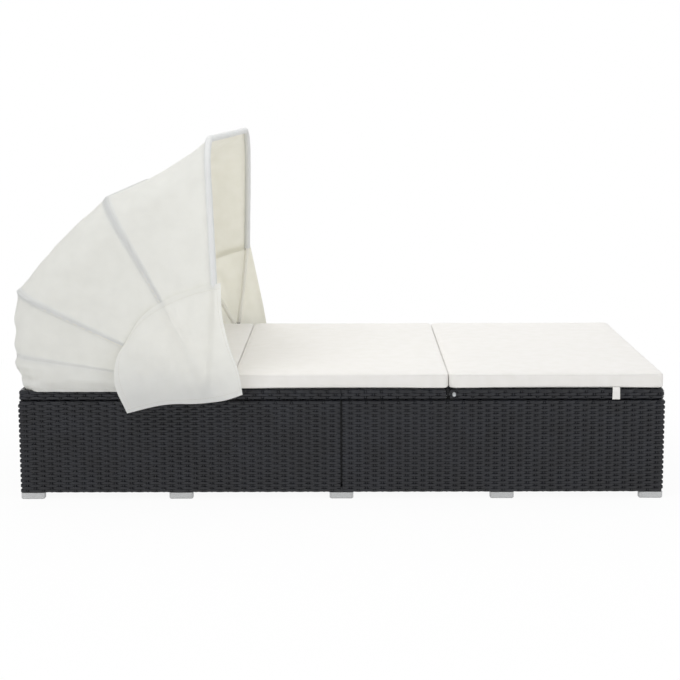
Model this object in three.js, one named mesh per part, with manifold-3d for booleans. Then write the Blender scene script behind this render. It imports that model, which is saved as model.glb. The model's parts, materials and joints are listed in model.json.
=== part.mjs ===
// Outdoor daybed: a woven base on ten glides, a deck of three panels with cushions, a backrest and
// a footrest that tilt on props, and a folding fabric hood on four bows that the backrest carries.
// Lengths are in millimetres and angles in degrees. X runs from the head end to the foot end,
// Y from the right side to the left side of someone who lies on it, and Z is up.
// The origin is on the floor under the middle of the base.

import * as THREE from "three";
import { mergeVertices } from "three/addons/utils/BufferGeometryUtils.js";
import Module from "manifold-3d";

const wasm = await Module();
wasm.setup();

// Gaps and overruns shared by the whole piece
const fit = 0.3; // between two pieces that touch
const overrun = 20; // how far a cutting block runs past what it cuts
const bite = 0.5; // how far welded pieces run into each other
const weld = 0.001; // vertices closer than this are one

// Base
const baseLength = 2000;
const baseWidth = 1140;
const baseTop = 311;
const centreJoint = 6; // dark gap between the two side panels of one side
const frameTube = 25;
const tubeCorner = 3;
const sideWeave = 3.7; // thickness of the woven skin on the base
const skinCorner = 5;
const legWidth = 70;
const centreLegWidth = 35;
const middleLegShare = 0.5; // place of the middle leg, as a share of half the length

// Glides under the legs
const glideHeight = 20;
const glideLength = 74;
const glideWidth = 27;
const glideToe = 3; // bevel round the glide's underside
const plugHeight = 14;
const plugInset = 6; // wall of the leg left round the glide's plug

// Deck panels
const hingeShare = 0.349; // place of a hinge axis, as a share of half the length
const deckInset = 5; // from the side of the base in to the outer face of a deck rail
const deckEndInset = 2;
const deckHalfHeight = 17;
const deckWeave = 3.2;
const deckCorner = 8;
const railHeight = 27;
const railWidth = 25;
const seatSetback = 22; // from a hinge axis to the end of the seat panel
const lipWidth = 20; // woven lip turned in under a rail
const endLipWidth = 32;
const crossTubeSetback = 17; // hinge-end cross tube, behind the hinge axis
const ribShare = 0.647; // place of a tilting panel's second rib, as a share of its length

// Hinges
const plateThickness = 5;
const plateHalfHeight = 12;
const plateRoot = 99; // how far a hinge plate runs back along the seat rail
const slotWidth = 9;
const boltRadius = 4;
const boltPlay = 0.35;
const boltHeadRadius = 7.5;
const boltHeadHeight = 4;
const nutRadius = 7;
const nutHeight = 5.5;

// Props and notched racks
const backrestTilt = 55;
const footrestTilt = 35;
const propPlaceShare = 0.30817; // from the hinge axis to the prop pivot, as a share of the panel's length
const propDrop = 28.3; // prop pivot below the hinge axis
const propRunShare = 0.17466; // lean of the prop at full tilt, as a share of the panel's length
const propRadius = 8;
const propLegInset = 66.5; // from a deck rail in to a leg of the prop
const propFootGap = 8; // from the side frame in to the end of the foot bar
const propFootHeight = 166; // height of the foot bar when it stands on the rack
const lugSetback = 40; // from a leg of the prop in to its lug
const lugThickness = 6;
const lugWall = 5;
const rackThickness = 5;
const rackHeight = 28;
const rackInset = 19; // from the side frame in to the far face of the rack
const rackClearance = 1;
const notchRadius = 9;
const notchDepth = 6;
const stopHeight = 22;
const stopLength = 10;
const rackTabLength = 30;
const notchTiltShares = [0.45, 0.6, 0.75, 0.88];

// Cushions
const cushionInset = 2; // from the outer face of a deck rail
const cushionHeight = 47;
const cushionCrown = 6;
const cushionDrawIn = 5;
const cushionRound = 9;
const cushionJointSetback = 18; // from a hinge axis to the end of the seat cushion
const cushionGap = 2.5;
const backrestCushionInset = 40; // from the end of the panel
const footrestCushionInset = 6;
const cushionCells = [10, 14, 3];

// Straps that hold the footrest cushion
const strapInset = 150; // from the end of the panel to the middle of the strap
const strapWidth = 24;
const strapThickness = 1.4;
const strapTop = 7; // above the top of the rail
const strapBottom = 1.5; // above the underside of the rail
const strapCurl = 1.6;

// Hood bows, from the front one to the fixed rear one
const hoodPlace = 51; // pivot behind the backrest hinge
const hoodRise = 34; // pivot above the backrest hinge
const bowRadius = 7;
const bowPitch = 15; // from one bow's leg to the next one's across the width
const rearBowGap = 8; // from the bracket to the centre of the rear bow's leg
const rearBowInset = 14.8; // from the head end of the base to the rear bow's crossbar
const eyeRadius = 11;
const bowNames = ["front", "middle", "lower", "rear"];
const bowAngles = [89.6, 119.1, 154.4, 171.95];
const bowReachShares = [1.2724, 1.0964, 1.0964, 1]; // of the rear bow's reach
const frontBowBend = 100;
const middleBowBend = 100;
const lowerBowBend = 80;
const rearBowBend = 50;

// Hood brackets on the backrest rails
const bracketThickness = 4;
const bracketGap = 0.5;
const bracketNose = 15;
const bracketTail = 12;
const bracketReach = 90; // from the pivot to the stud that fixes the rear bow
const bracketHalfHeight = 12;
const studRadius = 3;
const studPlay = 0.3;
const studDepth = 12.5;
const railStudLength = 20;
const railStudPlaces = [64, 128];
const capRadius = 9;
const capHeight = 5;
const sunkHeadRadius = 8;
const sunkHeadHeight = 2;

// Hood fabric
const clothThickness = 2;
const hemRadius = 312; // lower edge of the hood's sides, from the pivot
const barClearance = 3; // fabric over a bow's crossbar
const sleeveRadius = 9.6;
const sleeveTurns = [215, 172, 129, 86, 43];
const topSagShares = [0.038, -0.01, -0.065]; // of the gap between two bows, less than 0 bulging out
const sideSagShare = 0.02;
const skirtGap = 6.7; // from the deck up to the skirt's lower edge
const skirtTuck = 18; // how far the skirt's lower edge is drawn in
const skirtBulge = 9;
const skirtRipple = 3;
const skirtRipples = 9;
const skirtRadius = 285;
const legCells = 3;
const bendCells = 6;
const barCells = 6;
const goreCells = 5;
const skirtCells = 3;

// Side flaps sewn to the hood's lower edge
const flapReach = 300;
const flapStartAngle = 153;
const flapEndAngle = 86.5;
const flapFlare = 12;
const flapRipple = 4.5;
const flapRipples = 2.5;
const flapCells = 9;
const flapBottomShares = [[-0.86, -0.25], [-0.42, -0.17], [-0.06, -0.14], [0.31, -0.05]];
const flapBulgeShare = 0.12;

// Facets: an arc gets twice its number, and a quadratic bend gets the number itself
const cornerFacets = 1;
const arcFacets = 3;
const pinSides = 12;
const nutSides = 6;
const tubeSides = 10;
const bowBendRings = 6;
const domeRings = 2;

// Colours and surfaces
const wovenFinish = { color: 0x26272b, roughness: 0.55, metalness: 0 };
const coatedFinish = { color: 0x2a2b2e, roughness: 0.45, metalness: 0.1 };
const zincFinish = { color: 0xb9bbbd, roughness: 0.35, metalness: 0.9 };
const glideFinish = { color: 0xc9cacb, roughness: 0.5, metalness: 0.1 };
const cushionFinish = { color: 0xefeee6, roughness: 0.9, metalness: 0 };
const hoodFinish = { color: 0xe6e5de, roughness: 0.92, metalness: 0 };

// Places worked out from the sizes above
const halfLength = baseLength / 2;
const halfWidth = baseWidth / 2;
const frameOuter = halfWidth - sideWeave - fit;
const frameInner = frameOuter - frameTube;
const frameEnd = halfLength - sideWeave - fit;
const frameTop = baseTop - sideWeave - fit;
const panelBottom = glideHeight + fit;
const frameBottom = panelBottom + sideWeave + fit;
const middleLegPlace = middleLegShare * halfLength;
const panelStart = centreJoint / 2;
const hingeHeight = baseTop + fit + deckHalfHeight;
const deckTop = hingeHeight + deckHalfHeight;
const deckEdge = halfWidth - deckInset;
const deckEnd = halfLength - deckEndInset;
const hingePlace = hingeShare * halfLength;
const seatEnd = hingePlace - seatSetback;
const railOuter = deckEdge - deckWeave - fit;
const railInner = railOuter - railWidth;
const railBottom = hingeHeight - railHeight / 2;
const railTop = hingeHeight + railHeight / 2;
const panelLength = deckEnd - hingePlace;
const ribPlace = ribShare * panelLength;
const plateOuter = railInner - fit;
const plateInner = plateOuter - plateThickness;
const propPlace = propPlaceShare * panelLength;
const propLegPlace = railInner - propLegInset;
const propFootReach = frameInner - propFootGap;
const lugPlace = propLegPlace - lugSetback;
const propLength = Math.hypot(propDropAt(backrestTilt), propRunShare * panelLength);
const rackPlace = frameInner - rackInset;
const cushionEdge = deckEdge - cushionInset;
const seatCushionEnd = hingePlace - cushionJointSetback;
const tiltCushionStart = seatCushionEnd + cushionGap;
const backrestCushionEnd = deckEnd - backrestCushionInset;
const footrestCushionEnd = deckEnd - footrestCushionInset;
const strapPlace = deckEnd - strapInset;
const hoodHeight = hingeHeight + hoodRise;
const hoodX = -hingePlace - hoodPlace;
const bracketInner = deckEdge + bracketGap;
const bracketOuter = bracketInner + bracketThickness;
const rearBowPlace = bracketOuter + rearBowGap;
const rearBowLean = THREE.MathUtils.degToRad(180 - bowAngles[bowAngles.length - 1]);
const rearBowReach = (halfLength - rearBowInset + hoodX) / Math.cos(rearBowLean);
const skirtBottom = deckTop + skirtGap;
const bowBends = [frontBowBend, middleBowBend, lowerBowBend, rearBowBend];
const bows = bowNames.map((name, index) => ({
  name,
  angle: THREE.MathUtils.degToRad(bowAngles[index]),
  reach: bowReachShares[index] * rearBowReach,
  bend: bowBends[index],
  place: rearBowPlace + bowPitch * (bowNames.length - 1 - index),
}));
const rearBow = bows[bows.length - 1];

// How far the prop's foot bar on the rack lies below the prop's pivot when the panel is tilted
function propDropAt(angle) {
  const turn = THREE.MathUtils.degToRad(angle);
  return hingeHeight + propPlace * Math.sin(turn) - propDrop * Math.cos(turn) - propFootHeight;
}

// Solids from three.js geometries, and back
function solidOf(geometry) {
  const bare = geometry.clone();
  for (const name of Object.keys(bare.attributes)) {
    if (name !== "position") bare.deleteAttribute(name);
  }
  const merged = mergeVertices(bare, weld);
  return new wasm.Manifold(
    new wasm.Mesh({
      numProp: 3,
      vertProperties: merged.attributes.position.array,
      triVerts: new Uint32Array(merged.index.array),
    }),
  );
}

function geometryOf(solid) {
  const mesh = solid.getMesh();
  const geometry = new THREE.BufferGeometry();
  geometry.setAttribute("position", new THREE.BufferAttribute(new Float32Array(mesh.vertProperties), 3));
  geometry.setIndex(new THREE.BufferAttribute(new Uint32Array(mesh.triVerts), 1));
  geometry.computeVertexNormals();
  return geometry;
}

function addPiece(group, name, solid, finish) {
  const mesh = new THREE.Mesh(geometryOf(solid), new THREE.MeshStandardMaterial(finish));
  mesh.name = name;
  group.add(mesh);
}

const joined = (solids) => solids.reduce((whole, solid) => whole.add(solid));
const cut = (solid, tools) => tools.reduce((whole, tool) => whole.subtract(tool), solid);

// A stretch of an axis, given for the positive side and mirrored to the side wanted
const span = (from, to, side = 1) => (side > 0 ? [from, to] : [-to, -from]);

function block(xs, ys, zs) {
  const geometry = new THREE.BoxGeometry(xs[1] - xs[0], ys[1] - ys[0], zs[1] - zs[0]);
  geometry.translate((xs[0] + xs[1]) / 2, (ys[0] + ys[1]) / 2, (zs[0] + zs[1]) / 2);
  return solidOf(geometry);
}

function roundedRectangle([left, right], [low, high], radius) {
  const shape = new THREE.Shape();
  shape.moveTo(left + radius, low);
  shape.absarc(right - radius, low + radius, radius, -Math.PI / 2, 0);
  shape.absarc(right - radius, high - radius, radius, 0, Math.PI / 2);
  shape.absarc(left + radius, high - radius, radius, Math.PI / 2, Math.PI);
  shape.absarc(left + radius, low + radius, radius, Math.PI, 1.5 * Math.PI);
  return shape;
}

// A bar with rounded long edges, along X, Y or Z
function bar(axis, xs, ys, zs, radius = tubeCorner) {
  const [wide, high, along] = { x: [ys, zs, xs], y: [zs, xs, ys], z: [xs, ys, zs] }[axis];
  const shape = roundedRectangle(wide, high, radius);
  const options = { depth: along[1] - along[0], bevelEnabled: false, curveSegments: cornerFacets };
  const geometry = new THREE.ExtrudeGeometry(shape, options);
  geometry.translate(0, 0, along[0]);
  const turned = new THREE.Matrix4();
  if (axis === "x") turned.set(0, 0, 1, 0, 1, 0, 0, 0, 0, 1, 0, 0, 0, 0, 0, 1);
  if (axis === "y") turned.set(0, 1, 0, 0, 0, 0, 1, 0, 1, 0, 0, 0, 0, 0, 0, 1);
  return solidOf(geometry.applyMatrix4(turned));
}

// A flat shape drawn in X and Z, given a thickness across Y
function plate(shape, ys) {
  const options = { depth: ys[1] - ys[0], bevelEnabled: false, curveSegments: arcFacets };
  const geometry = new THREE.ExtrudeGeometry(shape, options);
  geometry.rotateX(Math.PI / 2);
  geometry.translate(0, ys[1], 0);
  return solidOf(geometry);
}

// A round bar across Y
function pin(x, z, radius, ys, sides = pinSides) {
  const geometry = new THREE.CylinderGeometry(radius, radius, ys[1] - ys[0], sides);
  geometry.translate(x, (ys[0] + ys[1]) / 2, z);
  return solidOf(geometry);
}

// A low dome across Y, on a face that looks along the given side
function dome(x, z, radius, face, height, side) {
  const profile = [new THREE.Vector2(0, 0)];
  for (let ring = 0; ring <= domeRings; ring += 1) {
    const turn = (ring / domeRings) * (Math.PI / 2);
    profile.push(new THREE.Vector2(radius * Math.cos(turn), height * Math.sin(turn)));
  }
  profile[profile.length - 1].x = 0;
  const geometry = new THREE.LatheGeometry(profile, pinSides);
  if (side < 0) geometry.rotateX(Math.PI);
  geometry.translate(x, face * side, z);
  return solidOf(geometry);
}

// Base frames: two side frames a side, one across the head end, the foot end and the middle
function legSpans() {
  return [
    [panelStart, panelStart + centreLegWidth],
    [middleLegPlace - legWidth / 2, middleLegPlace + legWidth / 2],
    [frameEnd - legWidth, frameEnd],
  ];
}

function plugSpan([from, to]) {
  return [from + plugInset, to - plugInset];
}

function sideFrame(end, side) {
  const ys = span(frameInner, frameOuter, side);
  const run = span(panelStart, frameEnd, end);
  const rails = [
    bar("x", run, ys, [frameTop - frameTube, frameTop]),
    bar("x", run, ys, [frameBottom, frameBottom + frameTube]),
  ];
  const rise = [panelBottom, frameTop - tubeCorner];
  const legs = legSpans().map((leg) => bar("z", span(...leg, end), ys, rise));
  const plugYs = span(frameInner + plugInset - fit, frameOuter - plugInset + fit, side);
  const sockets = legSpans().map((leg) => {
    const [from, to] = plugSpan(leg);
    return block(span(from - fit, to + fit, end), plugYs, [0, panelBottom + plugHeight + fit]);
  });
  return cut(joined([...rails, ...legs]), sockets);
}

// A frame across the bed: two rails on three posts
function acrossFrame(xs, top) {
  const reach = frameInner - fit;
  const posts = [
    [-reach, frameTube - reach],
    [-frameTube / 2, frameTube / 2],
    [reach - frameTube, reach],
  ];
  return joined([
    bar("y", xs, [-reach, reach], [top - frameTube, top]),
    bar("y", xs, [-reach, reach], [frameBottom, frameBottom + frameTube]),
    ...posts.map((ys) => bar("z", xs, ys, [frameBottom + tubeCorner, top - tubeCorner])),
  ]);
}

// Woven skins: an outer face with its edges turned in over and under the frame, open where a leg comes through
function sideSkin(end, side) {
  const run = span(panelStart, halfLength, end);
  const whole = bar("x", run, span(frameInner, halfWidth, side), [panelBottom, baseTop], skinCorner);
  const hollowYs = span(frameInner - overrun, frameOuter + fit, side);
  const hollow = block(
    span(panelStart - overrun, frameEnd + fit, end),
    hollowYs,
    [panelBottom + sideWeave, baseTop - sideWeave],
  );
  const legRoom = legSpans().map(([from, to]) => {
    return block(span(from - fit, to + fit, end), hollowYs, [0, panelBottom + frameTube]);
  });
  return cut(whole, [hollow, ...legRoom]);
}

function endSkin(end) {
  const reach = frameInner - fit;
  const xs = span(frameEnd - frameTube, halfLength, end);
  const whole = bar("y", xs, [-reach, reach], [panelBottom, baseTop], skinCorner);
  const hollow = block(
    span(frameEnd - frameTube - overrun, frameEnd + fit, end),
    [-reach - overrun, reach + overrun],
    [panelBottom + sideWeave, baseTop - sideWeave],
  );
  return whole.subtract(hollow);
}

// A glide: a bevelled pad with a plug for each leg that it carries
function glide(centre, side, plugs) {
  const half = glideLength / 2;
  const middle = frameOuter - frameTube / 2;
  const shape = roundedRectangle(
    [-half + glideToe, half - glideToe],
    [-glideWidth / 2 + glideToe, glideWidth / 2 - glideToe],
    glideToe,
  );
  const pad = new THREE.ExtrudeGeometry(shape, {
    depth: glideHeight - glideToe,
    bevelThickness: glideToe,
    bevelSize: glideToe,
    bevelSegments: 1,
    curveSegments: cornerFacets,
  });
  pad.translate(centre, middle * side, glideToe);
  const below = block(
    [centre - glideLength, centre + glideLength],
    [-baseWidth, baseWidth],
    [glideHeight, glideHeight + overrun],
  );
  const pegs = plugs.map((xs) => {
    const ys = span(frameInner + plugInset, frameOuter - plugInset, side);
    return block(xs, ys, [glideHeight - bite, panelBottom + plugHeight]);
  });
  return joined([solidOf(pad).subtract(below), ...pegs]);
}

function addBase(group) {
  for (const [sideName, side] of [["right", -1], ["left", 1]]) {
    for (const [endName, end] of [["head", -1], ["foot", 1]]) {
      addPiece(group, `${sideName}_${endName}_side_frame`, sideFrame(end, side), coatedFinish);
      addPiece(group, `${sideName}_${endName}_side_weave`, sideSkin(end, side), wovenFinish);
    }
    const [centreLeg, middleLeg, endLeg] = legSpans().map(plugSpan);
    const outerPlace = halfLength - glideLength / 2;
    const places = [
      [-outerPlace, [span(...endLeg, -1)]],
      [-middleLegPlace, [span(...middleLeg, -1)]],
      [0, [span(...centreLeg, -1), centreLeg]],
      [middleLegPlace, [middleLeg]],
      [outerPlace, [endLeg]],
    ];
    places.forEach(([centre, plugs], index) => {
      addPiece(group, `${sideName}_glide_${index + 1}`, glide(centre, side, plugs), glideFinish);
    });
  }
  for (const [endName, end] of [["head", -1], ["foot", 1]]) {
    const xs = span(frameEnd - frameTube, frameEnd, end);
    addPiece(group, `${endName}_end_frame`, acrossFrame(xs, frameTop), coatedFinish);
    addPiece(group, `${endName}_end_weave`, endSkin(end), wovenFinish);
  }
  const middle = [-frameTube / 2, frameTube / 2];
  addPiece(group, "centre_cross_frame", acrossFrame(middle, railBottom - fit), coatedFinish);
}

// Seat: the fixed middle panel of the deck, with the plates that carry both hinges
function hingePlate(end, side) {
  const shape = new THREE.Shape();
  shape.moveTo(-plateRoot, -plateHalfHeight);
  shape.absarc(0, 0, plateHalfHeight, -Math.PI / 2, Math.PI / 2);
  shape.lineTo(-plateRoot, plateHalfHeight);
  const solid = plate(shape, span(plateInner, plateOuter, side));
  const hole = pin(0, 0, boltRadius + boltPlay, span(plateInner - overrun, plateOuter + overrun, side));
  const turned = end > 0 ? solid.subtract(hole) : solid.subtract(hole).rotate([0, 0, 180]);
  return turned.translate([hingePlace * end, 0, hingeHeight]);
}

function seatFrame() {
  const zs = [railBottom, railTop];
  const end = seatEnd - deckWeave - fit;
  const pieces = [];
  for (const side of [-1, 1]) {
    pieces.push(bar("x", [-end, end], span(railInner, railOuter, side), zs));
    for (const endSide of [-1, 1]) {
      pieces.push(hingePlate(endSide, endSide > 0 ? side : -side));
      const padXs = span(hingePlace - plateRoot, end - railWidth, endSide);
      const padZs = [hingeHeight - plateHalfHeight, hingeHeight + plateHalfHeight];
      pieces.push(block(padXs, span(plateOuter - bite, railInner + bite, side), padZs));
    }
  }
  for (const xs of [[-end, railWidth - end], [-railWidth / 2, railWidth / 2], [end - railWidth, end]]) {
    pieces.push(bar("y", xs, [-railInner - bite, railInner + bite], zs));
  }
  return joined(pieces);
}

// Woven deck: a tray turned over its frame, open underneath between the lips
function deckShell(outerProfile, innerProfile, openXs, cuts) {
  const width = [-deckEdge, deckEdge];
  const innerWidth = deckEdge - deckWeave;
  const outer = plate(outerProfile, width);
  const edges = bar(
    "x",
    [-baseLength, baseLength],
    width,
    [-deckHalfHeight, deckHalfHeight],
    deckCorner,
  );
  const inner = plate(innerProfile, [-innerWidth, innerWidth]);
  const lip = deckEdge - lipWidth;
  const opening = block(openXs, [-lip, lip], [-deckHalfHeight - overrun, 0]);
  return cut(outer.intersect(edges), [inner, opening, ...cuts]);
}

function seatDeck() {
  const outer = roundedRectangle([-seatEnd, seatEnd], [-deckHalfHeight, deckHalfHeight], deckCorner);
  const end = seatEnd - deckWeave;
  const high = deckHalfHeight - deckWeave;
  const inner = roundedRectangle([-end, end], [-high, high], fit);
  const slots = [];
  for (const side of [-1, 1]) {
    const middle = (plateInner + plateOuter) / 2;
    const ys = span(middle - slotWidth / 2, middle + slotWidth / 2, side);
    const zs = [-plateHalfHeight - fit, plateHalfHeight + fit];
    slots.push(block([-seatEnd - overrun, -end + overrun], ys, zs));
    slots.push(block([end - overrun, seatEnd + overrun], ys, zs));
  }
  const openEnd = seatEnd - endLipWidth;
  return deckShell(outer, inner, [-openEnd, openEnd], slots).translate([0, 0, hingeHeight]);
}

// A bolt across a rail: domed head outside, nut inside the hinge plate
function hingeBolt(end, side) {
  const head = deckEdge + fit;
  const nut = plateInner - fit;
  return joined([
    pin(0, 0, boltRadius, span(nut - nutHeight, head + bite, side)),
    dome(0, 0, boltHeadRadius, head, boltHeadHeight, side),
    pin(0, 0, nutRadius, span(nut - nutHeight, nut, side), nutSides),
  ]).translate([hingePlace * end, 0, hingeHeight]);
}

// Tilting panels, drawn with the hinge axis at the origin and the free end towards +X
function tiltProfile(radius, end, corner) {
  const shape = new THREE.Shape();
  shape.moveTo(0, -radius);
  shape.lineTo(end - corner, -radius);
  shape.quadraticCurveTo(end, -radius, end, corner - radius);
  shape.lineTo(end, radius - corner);
  shape.quadraticCurveTo(end, radius, end - corner, radius);
  shape.absarc(0, 0, radius, Math.PI / 2, 1.5 * Math.PI);
  return shape;
}

function propLug(place) {
  const top = -railHeight / 2 + bite;
  const shape = new THREE.Shape();
  const wall = propRadius + lugWall;
  shape.moveTo(propPlace + wall, top);
  shape.lineTo(propPlace - wall, top);
  shape.absarc(propPlace, -propDrop, wall, Math.PI, 2 * Math.PI);
  const hole = pin(
    propPlace,
    -propDrop,
    propRadius + boltPlay,
    [place - lugThickness, place + lugThickness],
  );
  return plate(shape, [place - lugThickness / 2, place + lugThickness / 2]).subtract(hole);
}

function railStudHoles(radius) {
  const holes = [];
  for (const side of [-1, 1]) {
    for (const place of railStudPlaces) {
      holes.push(pin(place, 0, radius, span(railInner - overrun, deckEdge + overrun, side)));
    }
  }
  return holes;
}

function tiltFrame(extraHoles) {
  const end = panelLength - deckWeave - fit;
  const pieces = [];
  const holes = [];
  for (const side of [-1, 1]) {
    const profile = tiltProfile(railHeight / 2, end, tubeCorner);
    pieces.push(plate(profile, span(railInner, railOuter, side)));
    holes.push(pin(0, 0, boltRadius + boltPlay, span(railInner - overrun, railOuter + overrun, side)));
  }
  const zs = [-railHeight / 2, railHeight / 2];
  const tubes = [
    [crossTubeSetback, crossTubeSetback + railWidth],
    [propPlace - railWidth / 2, propPlace + railWidth / 2],
    [ribPlace - railWidth / 2, ribPlace + railWidth / 2],
    [end - railWidth, end],
  ];
  for (const xs of tubes) pieces.push(bar("y", xs, [-railInner - bite, railInner + bite], zs));
  for (const place of [-lugPlace, lugPlace]) pieces.push(propLug(place));
  return cut(joined(pieces), [...holes, ...extraHoles]);
}

function tiltDeck(extraHoles) {
  const outer = tiltProfile(deckHalfHeight, panelLength, deckCorner);
  const inner = tiltProfile(deckHalfHeight - deckWeave, panelLength - deckWeave, fit);
  const gapYs = railInner + 2 * bite;
  const hingeGap = block(
    [-deckHalfHeight - overrun, crossTubeSetback - deckWeave],
    [-gapYs, gapYs],
    [-deckHalfHeight - overrun, deckHalfHeight + overrun],
  );
  const boltHole = pin(0, 0, boltRadius + boltPlay, [-deckEdge - overrun, deckEdge + overrun]);
  const openXs = [crossTubeSetback + endLipWidth, panelLength - endLipWidth];
  return deckShell(outer, inner, openXs, [hingeGap, boltHole, ...extraHoles]);
}

// The prop: a pivot tube in the lugs, two legs and a foot bar that stands on the racks
function prop() {
  const legs = [-propLegPlace, propLegPlace].map((place) => {
    const geometry = new THREE.CylinderGeometry(propRadius, propRadius, propLength, tubeSides);
    geometry.rotateZ(Math.PI / 2);
    geometry.translate(propLength / 2, place, 0);
    return solidOf(geometry);
  });
  const pivotReach = propLegPlace + propRadius;
  return joined([
    pin(0, 0, propRadius, [-pivotReach, pivotReach], tubeSides),
    pin(propLength, 0, propRadius, [-propFootReach, propFootReach], tubeSides),
    ...legs,
  ]);
}

// Where the foot bar stands on the rack when its panel is tilted by an angle
function footPlace(angle) {
  const turn = THREE.MathUtils.degToRad(angle);
  const out = propPlace * Math.cos(turn) + propDrop * Math.sin(turn);
  return hingePlace + out + Math.sqrt(propLength ** 2 - propDropAt(angle) ** 2);
}

function rack(end, side, tilt) {
  const top = propFootHeight - propRadius - rackClearance;
  const from = middleLegPlace - rackTabLength / 2;
  const to = frameEnd - legWidth + rackTabLength;
  const stop = footPlace(tilt) - propRadius - rackClearance;
  const ys = span(rackPlace, rackPlace + rackThickness, side);
  const stopRise = [top - rackHeight / 2, top + stopHeight];
  const solid = joined([
    block(span(from, to, end), ys, [top - rackHeight, top]),
    bar("y", span(stop - stopLength, stop, end), ys, stopRise, tubeCorner),
    ...[[from, from + rackTabLength], [to - rackTabLength, to]].map((xs) =>
      block(span(...xs, end), span(rackPlace + bite, frameInner - fit, side), [top - rackHeight, top]),
    ),
  ]);
  const notches = notchTiltShares.map((share) => {
    const height = top - notchDepth + notchRadius;
    const cutYs = span(rackPlace - overrun / 2, rackPlace + rackThickness + overrun / 2, side);
    return pin(footPlace(tilt * share) * end, height, notchRadius, cutYs);
  });
  return cut(solid, notches);
}

// Cushions: crowned on top, flat underneath, with rounded edges and sides drawn in between the corners
function cushion(from, to) {
  const length = to - from;
  const width = 2 * cushionEdge;
  const geometry = new THREE.BoxGeometry(length, width, cushionHeight, ...cushionCells);
  const points = geometry.attributes.position;
  for (let index = 0; index < points.count; index += 1) {
    const u = (2 * points.getX(index)) / length;
    const v = (2 * points.getY(index)) / width;
    const w = (2 * points.getZ(index)) / cushionHeight;
    const inAtEdge = cushionRound * w ** 4;
    const x = u * (length / 2 - inAtEdge * u ** 8 - cushionDrawIn * (1 - v ** 2) * u ** 8);
    const y = v * (width / 2 - inAtEdge * v ** 8 - cushionDrawIn * (1 - u ** 2) * v ** 8);
    const lift = w > 0 ? cushionCrown * (1 - u ** 4) * (1 - v ** 4) * w : 0;
    points.setXYZ(index, x, y, (w * cushionHeight) / 2 + lift);
  }
  const base = deckTop + fit + cushionHeight / 2;
  return solidOf(geometry).translate([(from + to) / 2, 0, base]);
}

// A sewn strap that hangs from the cushion over the rail
function strap(side) {
  const low = hingeHeight - deckHalfHeight + strapBottom;
  const high = deckTop + strapTop;
  const inner = deckEdge + fit;
  const outer = inner + strapThickness;
  const shape = new THREE.Shape();
  shape.moveTo(inner, low + strapCurl);
  shape.lineTo(inner + strapCurl, low);
  shape.lineTo(outer + strapCurl, low + strapCurl);
  shape.lineTo(outer, low + 3 * strapCurl);
  shape.lineTo(outer, high);
  shape.lineTo(inner, high);
  const options = { depth: strapWidth, bevelEnabled: false };
  const geometry = new THREE.ExtrudeGeometry(shape, options);
  const turned = new THREE.Matrix4().set(0, 0, 1, 0, 1, 0, 0, 0, 0, 1, 0, 0, 0, 0, 0, 1);
  geometry.applyMatrix4(turned);
  geometry.translate(strapPlace - strapWidth / 2, 0, 0);
  const solid = solidOf(geometry);
  return side > 0 ? solid : solid.mirror([0, 1, 0]);
}

// A bow's centre line: up the right leg, round a bend, along the crossbar and down the left leg.
// Its parameter steps evenly through the rings, which bunch in the bends.
class BowCurve extends THREE.Curve {
  constructor(bow) {
    super();
    const top = bow.reach - bow.bend;
    const half = bow.place - bow.bend;
    this.rings = [new THREE.Vector3(eyeRadius - bite, -bow.place, 0)];
    for (let ring = 0; ring <= bowBendRings; ring += 1) {
      const turn = (ring / bowBendRings) * (Math.PI / 2);
      this.rings.push(
        new THREE.Vector3(top + bow.bend * Math.sin(turn), -half - bow.bend * Math.cos(turn), 0),
      );
    }
    const mirrored = this.rings.map((ring) => new THREE.Vector3(ring.x, -ring.y, 0)).reverse();
    this.rings.push(...mirrored);
  }
  getPoint(t) {
    const place = Math.min(Math.max(t, 0), 1) * (this.rings.length - 1);
    const index = Math.min(Math.floor(place), this.rings.length - 2);
    return this.rings[index].clone().lerp(this.rings[index + 1], place - index);
  }
  getUtoTmapping(u) {
    return u;
  }
}

function bowSolid(bow) {
  const curve = new BowCurve(bow);
  const section = new THREE.Shape().absarc(0, 0, bowRadius, 0, 2 * Math.PI);
  const geometry = new THREE.ExtrudeGeometry(section, {
    steps: curve.rings.length - 1,
    extrudePath: curve,
    curveSegments: tubeSides / 2,
  });
  const flat = solidOf(geometry);
  const eyes = [];
  const holes = [];
  const half = bowPitch / 2 - fit / 2;
  for (const side of [-1, 1]) {
    eyes.push(pin(0, 0, eyeRadius, span(bow.place - half, bow.place + half, side)));
    holes.push(pin(0, 0, boltRadius + boltPlay, span(bow.place - overrun, bow.place + overrun, side)));
    if (bow === rearBow) {
      const ys = span(bracketOuter - overrun, bracketOuter + studDepth + fit, side);
      holes.push(pin(bracketReach, 0, studRadius + studPlay, ys));
    }
  }
  return cut(joined([flat, ...eyes]), holes);
}

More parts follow.
